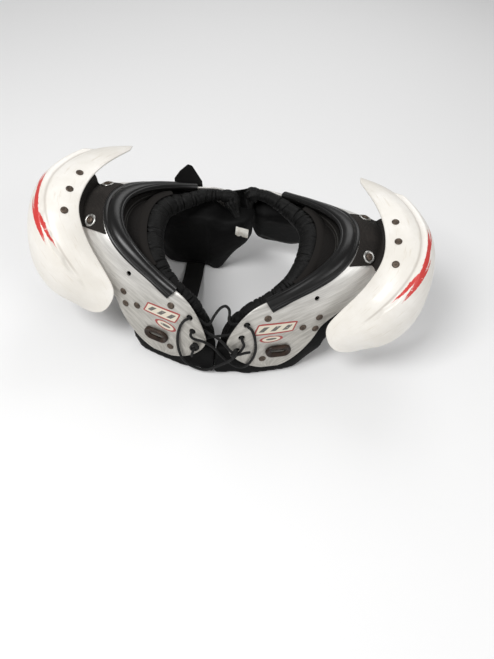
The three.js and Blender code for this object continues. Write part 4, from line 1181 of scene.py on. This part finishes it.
def makeRoll(side):
    w = np.linspace(0, 1, roll["rows"])
    point, girth, _, level, rise = rollFrame(side, w)
    angle = roundAngles(roll["sides"])
    rng = np.random.default_rng(roll["seed"] + side["sign"])
    # creases: one each 10 mm or so, every one a narrow slanted cut that fades round the girth,
    # with the cloth swelled softly between them
    count, crease = roll["wrinkles"], roll["crease"]
    shift = rng.uniform(-crease["shift"], crease["shift"], count)
    place = (np.arange(count) + shift + 0.5) / count
    centre = rng.uniform(0, 2 * math.pi, count)
    lean = rng.uniform(-crease["lean"], crease["lean"], count)
    narrow = rng.uniform(*crease["narrow"], count)
    depth = rng.uniform(*crease["depth"], count)
    turn = angle[None, :, None] * side["sign"] - centre
    away = np.abs(w[:, None, None] - place - lean * np.sin(turn))
    reach = smooth((np.cos(turn) + 0.85) / 1.2)
    dent = (depth * reach * (0.6 * np.exp(-((away / narrow) ** 2))
                             + 0.4 * np.exp(-((away / (2.6 * narrow)) ** 2)))).sum(-1)
    end = np.sqrt(np.clip(1 - (np.abs(2 * w - 1) ** 60), 0.02, 1))
    swell = roll["plump"] * (1 + 0.012 * np.sin(7 * angle[None] + 55 * w[:, None]))
    radius = girth[:, None] * (swell - np.minimum(dent, crease["most"])) * end[:, None]
    spoke = (np.cos(angle)[None, :, None] * level[:, None]
             + np.sin(angle)[None, :, None] * rise[:, None])
    rings = point[:, None] + radius[..., None] * spoke
    piece = tubeMesh(side["name"] + "_neck_roll_cover", rings, roll["size"])
    keep(piece, finish["gather"], "cloth", side["name"] + "_neck_roll")
    name = side["name"]
    makeRollEnd(name + "_roll_gathered_end", side, (0.93, 0.975), roll["ends"][name],
                roll["rearGirth"])
    makeRollEnd(name + "_roll_gathered_front", side, (0.05, 0.02), roll["fronts"][name],
                roll["frontGirth"][name])


def makeRollEnd(name, side, places, tail, girth):
    # gathered end: the tube leaves the roll at two places and narrows into a pleated tail
    start = np.stack([rollAt(side, w)[0] for w in places])
    route = np.vstack([start, tail])
    girth = np.array(girth)
    line = eased(throughPoints(route, 16), 0.6, 3.0)
    w = np.linspace(0, 1, len(line))
    thick = np.interp(w, girth[:, 0], girth[:, 1]) * roll["radius"]
    rings = tubeAlong(line, thick, roll["endSides"])
    middle = rings.mean(1, keepdims=True)
    angle = roundAngles(roll["endSides"])
    pleat = sum(size * np.sin(folds * angle[None] + phase + twist * w[:, None])
                for size, folds, phase, twist in roll["pleats"])
    rings = middle + (rings - middle) * (1 + pleat * smooth((w[:, None] - 0.1) / 0.3))[..., None]
    piece = tubeMesh(name, rings, [80.0, 60.0])
    keep(piece, finish["gather"], "cloth")


# ---- padded mesh lining between arch and roll
lining = {"start": 0.35, "end": 0.7, "under": (40, 22, 3), "top": -7.0, "thickness": 15.0,
          "turnTop": 44, "turnBottom": -35, "gap": 0.4, "rows": 120, "columns": 40,
          "size": (260.0, 90.0), "stretch": 1.155}


def turnedAbout(v, axis, degrees):
    # Rodrigues turn of vectors v about unit axes
    c, s = math.cos(math.radians(degrees)), math.sin(math.radians(degrees))
    return v * c + np.cross(axis, v) * s + axis * (v * axis).sum(-1, keepdims=True) * (1 - c)


def makeLining(side):
    # from the arch's underside, then a swelled curve down to the flank of the roll
    u = np.linspace(lining["start"], lining["end"], lining["rows"])

    def layer(h, degrees, puffed):
        flat = [onArch(side, u, d / archWidth(side, u), h)[0] for d in lining["under"]]
        point, girth, run, _, _ = rollFrame(side, u)
        outward = onArch(side, u, 0, lining["top"])[0] - point
        outward = unit(outward - run * (outward * run).sum(-1, keepdims=True))
        outward = turnedAbout(outward, run, degrees * side["sign"])
        flank = point + outward * (lining["stretch"] * girth + lining["gap"])[:, None]
        keys = np.stack([*flat, (flat[-1] + flank) / 2, flank], 1)
        place = np.linspace(0, 4, lining["columns"])
        i = np.minimum(place.astype(int), 3)
        t = (place - i)[None, :, None]
        before, after = keys[:, np.maximum(i - 1, 0)], keys[:, np.minimum(i + 2, 4)]
        a, b = keys[:, i], keys[:, i + 1]
        curve = 0.5 * (2 * a + (b - before) * t + (2 * before - 5 * a + 4 * b - after) * t**2
                       + (3 * a - before - 3 * b + after) * t**3)
        swell = puffed * np.sin(math.pi * np.clip((place - 2.1) / 1.9, 0, 1)) ** 0.7
        lift = unit(np.cross(run, outward)) * side["sign"]
        return curve - lift[:, None] * swell[None, :, None]

    top = layer(lining["top"], lining["turnTop"], 0.8)
    bottom = layer(lining["top"] - lining["thickness"], lining["turnBottom"], 0.0)
    piece = shellMesh(side["name"] + "_mesh_lining", top, bottom, lining["size"])
    keep(piece, finish["mesh"], "mesh", side["name"] + "_shoulder_pad")


for side in sides.values():
    makeCushion(side, "chest", chestLimits)
    makeCushion(side, "back", backLimits)
    makeRoll(side)
    makeLining(side)
print("soft parts made")

# ---- straps, bridge and tag
straps = {
    "thickness": 1.6, "innerWidth": 30.0, "innerPath": [
        [-62, -95.3, 51.2], [-62, -82, 49], [-62, -60, 42], [-62, -20, 28], [-63, 15, 16],
        [-64, 45, 7], [-65, 66, 4], [-65.5, 84, 3.4]],
    "backX": 84.0, "backWidth": 42.0, "backFoot": 96.0, "backTop": 140.0, "clear": 6.6,
    "peak": [[-0.5, 6], [-0.12, 34], [0.02, 36], [0.3, 24], [0.5, 10]],
    "bridgeReach": 42.0, "bridgeInset": 14.0, "bridgeLow": 76.0, "bridgeWidth": 62.0,
    "bridgeSeat": 1.0, "tag": (11, 66.7, 106), "tagSize": (21.0, 15.0),
}


def onRear(side, x, z, h):
    # the place on the rear plate's outer face at a distance x and a height z (Newton steps)
    x, z = np.broadcast_arrays(np.asarray(x, float), np.asarray(z, float))
    u, v, step = np.full(x.shape, 0.9), np.full(x.shape, 0.3), 1e-3
    for _ in range(8):
        at = archSkin(side, u, v)
        du = (archSkin(side, u + step, v) - at) / step
        dv = (archSkin(side, u, v + step) - at) / step
        det = du[..., 0] * dv[..., 2] - dv[..., 0] * du[..., 2]
        ex, ez = x - at[..., 0], z - at[..., 2]
        u = u + (ex * dv[..., 2] - ez * dv[..., 0]) / det
        v = v + (ez * du[..., 0] - ex * du[..., 2]) / det
    return onArch(side, u, v, h)[0]


def makeInnerStrap():
    # a flat band along its path, its width along X
    line = throughPoints(np.array(straps["innerPath"], float), 14)
    run = unit(np.gradient(line, axis=0))
    flat = unit(np.cross([1.0, 0, 0], run))
    k = np.linspace(-0.5, 0.5, 12)[None, :, None] * straps["innerWidth"]
    top, bottom = (line[:, None] + k * [1.0, 0, 0] + flat[:, None] * h
                   for h in (straps["thickness"] / 2, -straps["thickness"] / 2))
    piece = shellMesh("inner_strap_web", top, bottom, [170.0, 30.0], 2)
    keep(piece, finish["strapWeb"], "webbing", "inner_strap")


def makeBackStrap():
    # up the rear plate, clearing it toward the top, then a fold of the peak's outline
    side = sides["right"]
    peak = np.array(straps["peak"], float)
    k = np.linspace(-0.5, 0.5, 26)
    rise = np.interp(k, peak[:, 0], peak[:, 1])
    x = (straps["backX"] + k * straps["backWidth"])[:, None]
    w = np.linspace(0, 1, 24)[None]
    z = mix(straps["backFoot"], straps["backTop"], w)
    lift = mix(0.3, straps["clear"], smooth(w / 0.4))
    faces = []
    for h in (straps["thickness"], 0.0):
        low = onRear(side, x, z, lift + h)
        s = np.linspace(0, 1, 12)[1:][None, :, None]
        fold = np.array([0, -2.0, 0]) * np.sin(s * math.pi / 2) + [0, 0, 1.0] * s \
            * rise[:, None, None]
        faces.append(np.concatenate([low, low[:, -1:] + fold], 1))
    piece = shellMesh("back_strap_web", *faces, [42.0, 84.0], 2)
    keep(piece, finish["strapWeb"], "webbing", "back_strap")


def makeBridge():
    # on both rear plates, straight across between them
    reach, inset = straps["bridgeReach"], straps["bridgeInset"]
    x = np.linspace(-reach, reach, 60)[:, None]
    z = straps["bridgeLow"] + np.linspace(0, 1, 16)[None] * straps["bridgeWidth"]
    faces = []
    for h in (straps["thickness"], 0.0):
        lift = straps["bridgeSeat"] + h
        both, ends = ({name: onRear(side, away, z, lift) for name, side in sides.items()}
                      for away in (np.maximum(np.abs(x), inset), inset))
        share = np.clip((x + inset) / (2 * inset), 0, 1)[..., None]
        middle = mix(ends["right"], ends["left"], share)
        point = np.where((x >= inset)[..., None], both["left"],
                         np.where((x <= -inset)[..., None], both["right"], middle))
        faces.append(point)
    piece = shellMesh("back_bridge_web", *faces, [84.0, 62.0], 2)
    keep(piece, finish["strapWeb"], "webbing", "back_bridge")


def makeTag():
    # a folded tape that curls in waves
    width, height = straps["tagSize"]
    fold = np.array([[0, 0], [-2.6, -0.45 * height], [-1.2, -height]])
    w = np.linspace(0, 1, 16)
    y, z = np.interp(w, [0, 0.45, 1], fold[:, 0]), -height * w
    across = unit(np.array([0.96, 0.1, -0.26])) * width
    k = np.linspace(-0.5, 0.5, 12)
    curl = (1.6 * np.sin(k * 9 + 0.6)[None] + 0.7 * np.sin(k * 21)[None]) * w[:, None]
    line = np.stack([0 * w, y, z], 1) + np.array(straps["tag"])
    base = line[:, None] + k[None, :, None] * across
    base[..., 1] -= np.abs(curl)
    base[..., 2] += 1.3 * np.cos(k * 11)[None] * w[:, None] ** 2
    top, bottom = base + [0, 0.4, 0], base - [0, 0.4, 0]
    piece = shellMesh("blank_tag", top, bottom, [15.0, 21.0], 2)
    keep(piece, finish["tag"], "tag", "size_tag")


# thin black sheet inside the left rear plate, seen between the two back cushions: painted shade
# where the plate's inner face lies in shadow
rearShadeSheet = {"run": (0.74, 0.965), "across": (-0.1, 0.42), "rows": 40, "columns": 16,
             "faces": (-3.15, -3.75)}


def makeRearShadeSheet():
    u = np.linspace(*rearShadeSheet["run"], rearShadeSheet["rows"])[:, None]
    v = np.linspace(*rearShadeSheet["across"], rearShadeSheet["columns"])[None]
    top, bottom = (onArch(sides["left"], u, v, h)[0] for h in rearShadeSheet["faces"])
    piece = shellMesh("left_rear_shade_sheet", top, bottom, [110.0, 60.0], 1)
    keep(piece, finish["nylon"], "cloth")


makeRearShadeSheet()
makeInnerStrap()
makeBackStrap()
makeBridge()
makeTag()
print("straps and tag made")

# ---- plain badges on the chest plates: a slanted panel and an oval, no words
badges = {
    "lift": 0.16, "rows": 26, "columns": 60,
    "left": [{"name": "panel", "at": (0.148, 0.368), "size": (58.0, 20.0), "slant": 0.35,
              "tilt": 2.0}, {"name": "oval", "at": (0.104, 0.393), "size": (34.0, 12.0),
                             "slant": 0.0, "tilt": 4.0}],
    "right": [{"name": "panel", "at": (0.150, 0.37), "size": (52.0, 20.0), "slant": 0.35,
               "tilt": 2.0}, {"name": "oval", "at": (0.103, 0.385), "size": (34.0, 15.0),
                              "slant": 0.0, "tilt": 10.0}],
}


def badgeFinish(name, oval):
    # red border, dark bars on cream; uv runs from -1 to 1 both ways
    paint = Paint(name, Coat_Weight=0.5, Coat_Roughness=0.12, Roughness=0.35)
    x, y, _ = paint.axes(paint.uv())
    if oval:
        radius = paint.math("SQRT", x * x + y * y)
        border = paint.step(radius, 0.74, 0.80)
        bars = 1 - paint.step(paint.math("SQRT", x * x + 2.2 * y * y), 0.44, 0.50)
    else:
        border = paint.math("MAXIMUM", paint.step(abs(x), 0.90, 0.93),
                            paint.step(abs(y), 0.70, 0.78))
        stripe = paint.math("PINGPONG", x * 3.4 - y * 0.75 + 1.0, 1.0)
        bars = paint.step(stripe, 0.50, 0.56) * (1 - paint.step(abs(y), 0.40, 0.46)) \
            * (1 - paint.step(abs(x), 0.78, 0.8))
    wear = paint.step(paint.noise(paint.place(), 220.0, 4.0, 0.7), 0.3, 0.42)
    base = paint.blend(border, (0.70, 0.64, 0.52), (0.34, 0.035, 0.03))
    paint.colour(paint.blend(0.9 * bars * wear, base, (0.03, 0.028, 0.03)))
    return paint.material


badgeFinishes = {"panel": badgeFinish("slantedBadge", False),
                 "oval": badgeFinish("ovalBadge", True)}


def makeBadge(side, badge):
    # rounded outline mapped through the plate's run and width so that it lies on the face
    s = np.linspace(-1, 1, badges["columns"])[:, None]
    q = np.linspace(-1, 1, badges["rows"])[None]
    if badge["name"] == "oval":
        px, py = s * np.sqrt(1 - 0.5 * q**2), q * np.sqrt(1 - 0.5 * s**2)
    else:
        px, py = s * (1 - 0.02 * q**4), q * (1 - 0.10 * np.abs(s) ** 8) + 0 * s
    lx = px * badge["size"][0] / 2 + py * badge["size"][1] / 2 * badge["slant"]
    ly = py * badge["size"][1] / 2
    tilt = math.radians(badge["tilt"]) * side["sign"]
    lx, ly = lx * math.cos(tilt) - ly * math.sin(tilt), lx * math.sin(tilt) + ly * math.cos(tilt)
    u0, v0 = badge["at"]
    at, normal, _, _ = onArch(side, u0, v0)
    step = 1e-3
    du = (onArch(side, u0 + step, v0)[0] - at) / step
    dv = (onArch(side, u0, v0 + step)[0] - at) / step
    level, rise = upright(normal)
    toUv = np.linalg.inv(np.array([[du @ level, dv @ level], [du @ rise, dv @ rise]]))
    u = u0 + toUv[0, 0] * lx + toUv[0, 1] * ly
    v = v0 + toUv[1, 0] * lx + toUv[1, 1] * ly
    top, bottom = (onArch(side, u, v, h)[0] for h in (badges["lift"], 0.03))
    name = f"{side['name']}_{badge['name']}_badge"
    piece = shellMesh(name, top, bottom, [2.0, 2.0], 1)
    uv = readUv(piece) - 1
    if badge["name"] == "oval":
        uv = uv[:, :1] * [1, 0] * np.sqrt(1 - 0.5 * uv[:, 1:] ** 2) \
            + uv[:, 1:] * [0, 1] * np.sqrt(1 - 0.5 * uv[:, :1] ** 2)
    writeUv(piece, uv)
    keep(piece, badgeFinishes[badge["name"]], "plate")


for side in sides.values():
    for badge in badges[side["name"]]:
        makeBadge(side, badge)
print("badges laid")

# ---- floor, light and room
room = {"floor": (0.90, 0.90, 0.90), "world": 0.30, "lights": [
    # place (m), size (m), watts
    [(-0.8, -0.9, 1.7), 0.8, 27], [(1.2, -0.9, 1.2), 1.0, 8], [(0.2, 1.3, 1.5), 1.0, 8]]}


def makeRoom():
    # a pale floor, an even white sky and three soft lights
    mesh = bpy.data.meshes.new("floor")
    mesh.from_pydata([(-9, -9, 0), (9, -9, 0), (9, 9, 0), (-9, 9, 0)], [], [(0, 1, 2, 3)])
    floor = bpy.data.objects.new("floor", mesh)
    scene.collection.objects.link(floor)
    paint = Paint("paleFloor", Roughness=0.9)
    paint.colour((*room["floor"], 1))
    mesh.materials.append(paint.material)
    world = bpy.data.worlds.new("room")
    world.use_nodes = True
    back = world.node_tree.nodes["Background"]
    back.inputs["Color"].default_value = (1, 1, 1, 1)
    back.inputs["Strength"].default_value = room["world"]
    scene.world = world
    for index, (place, size, watts) in enumerate(room["lights"]):
        data = bpy.data.lights.new(f"soft{index}", "AREA")
        data.size, data.energy = size, watts
        light = bpy.data.objects.new(f"soft{index}", data)
        scene.collection.objects.link(light)
        light.location = place
        toward = -np.array(place) + [0, 0, 0.12]
        light.rotation_mode = "QUATERNION"
        light.rotation_quaternion = Vector(toward).to_track_quat("-Z", "Y")
    scene.view_settings.view_transform = "Standard"


makeRoom()
print("room lit")
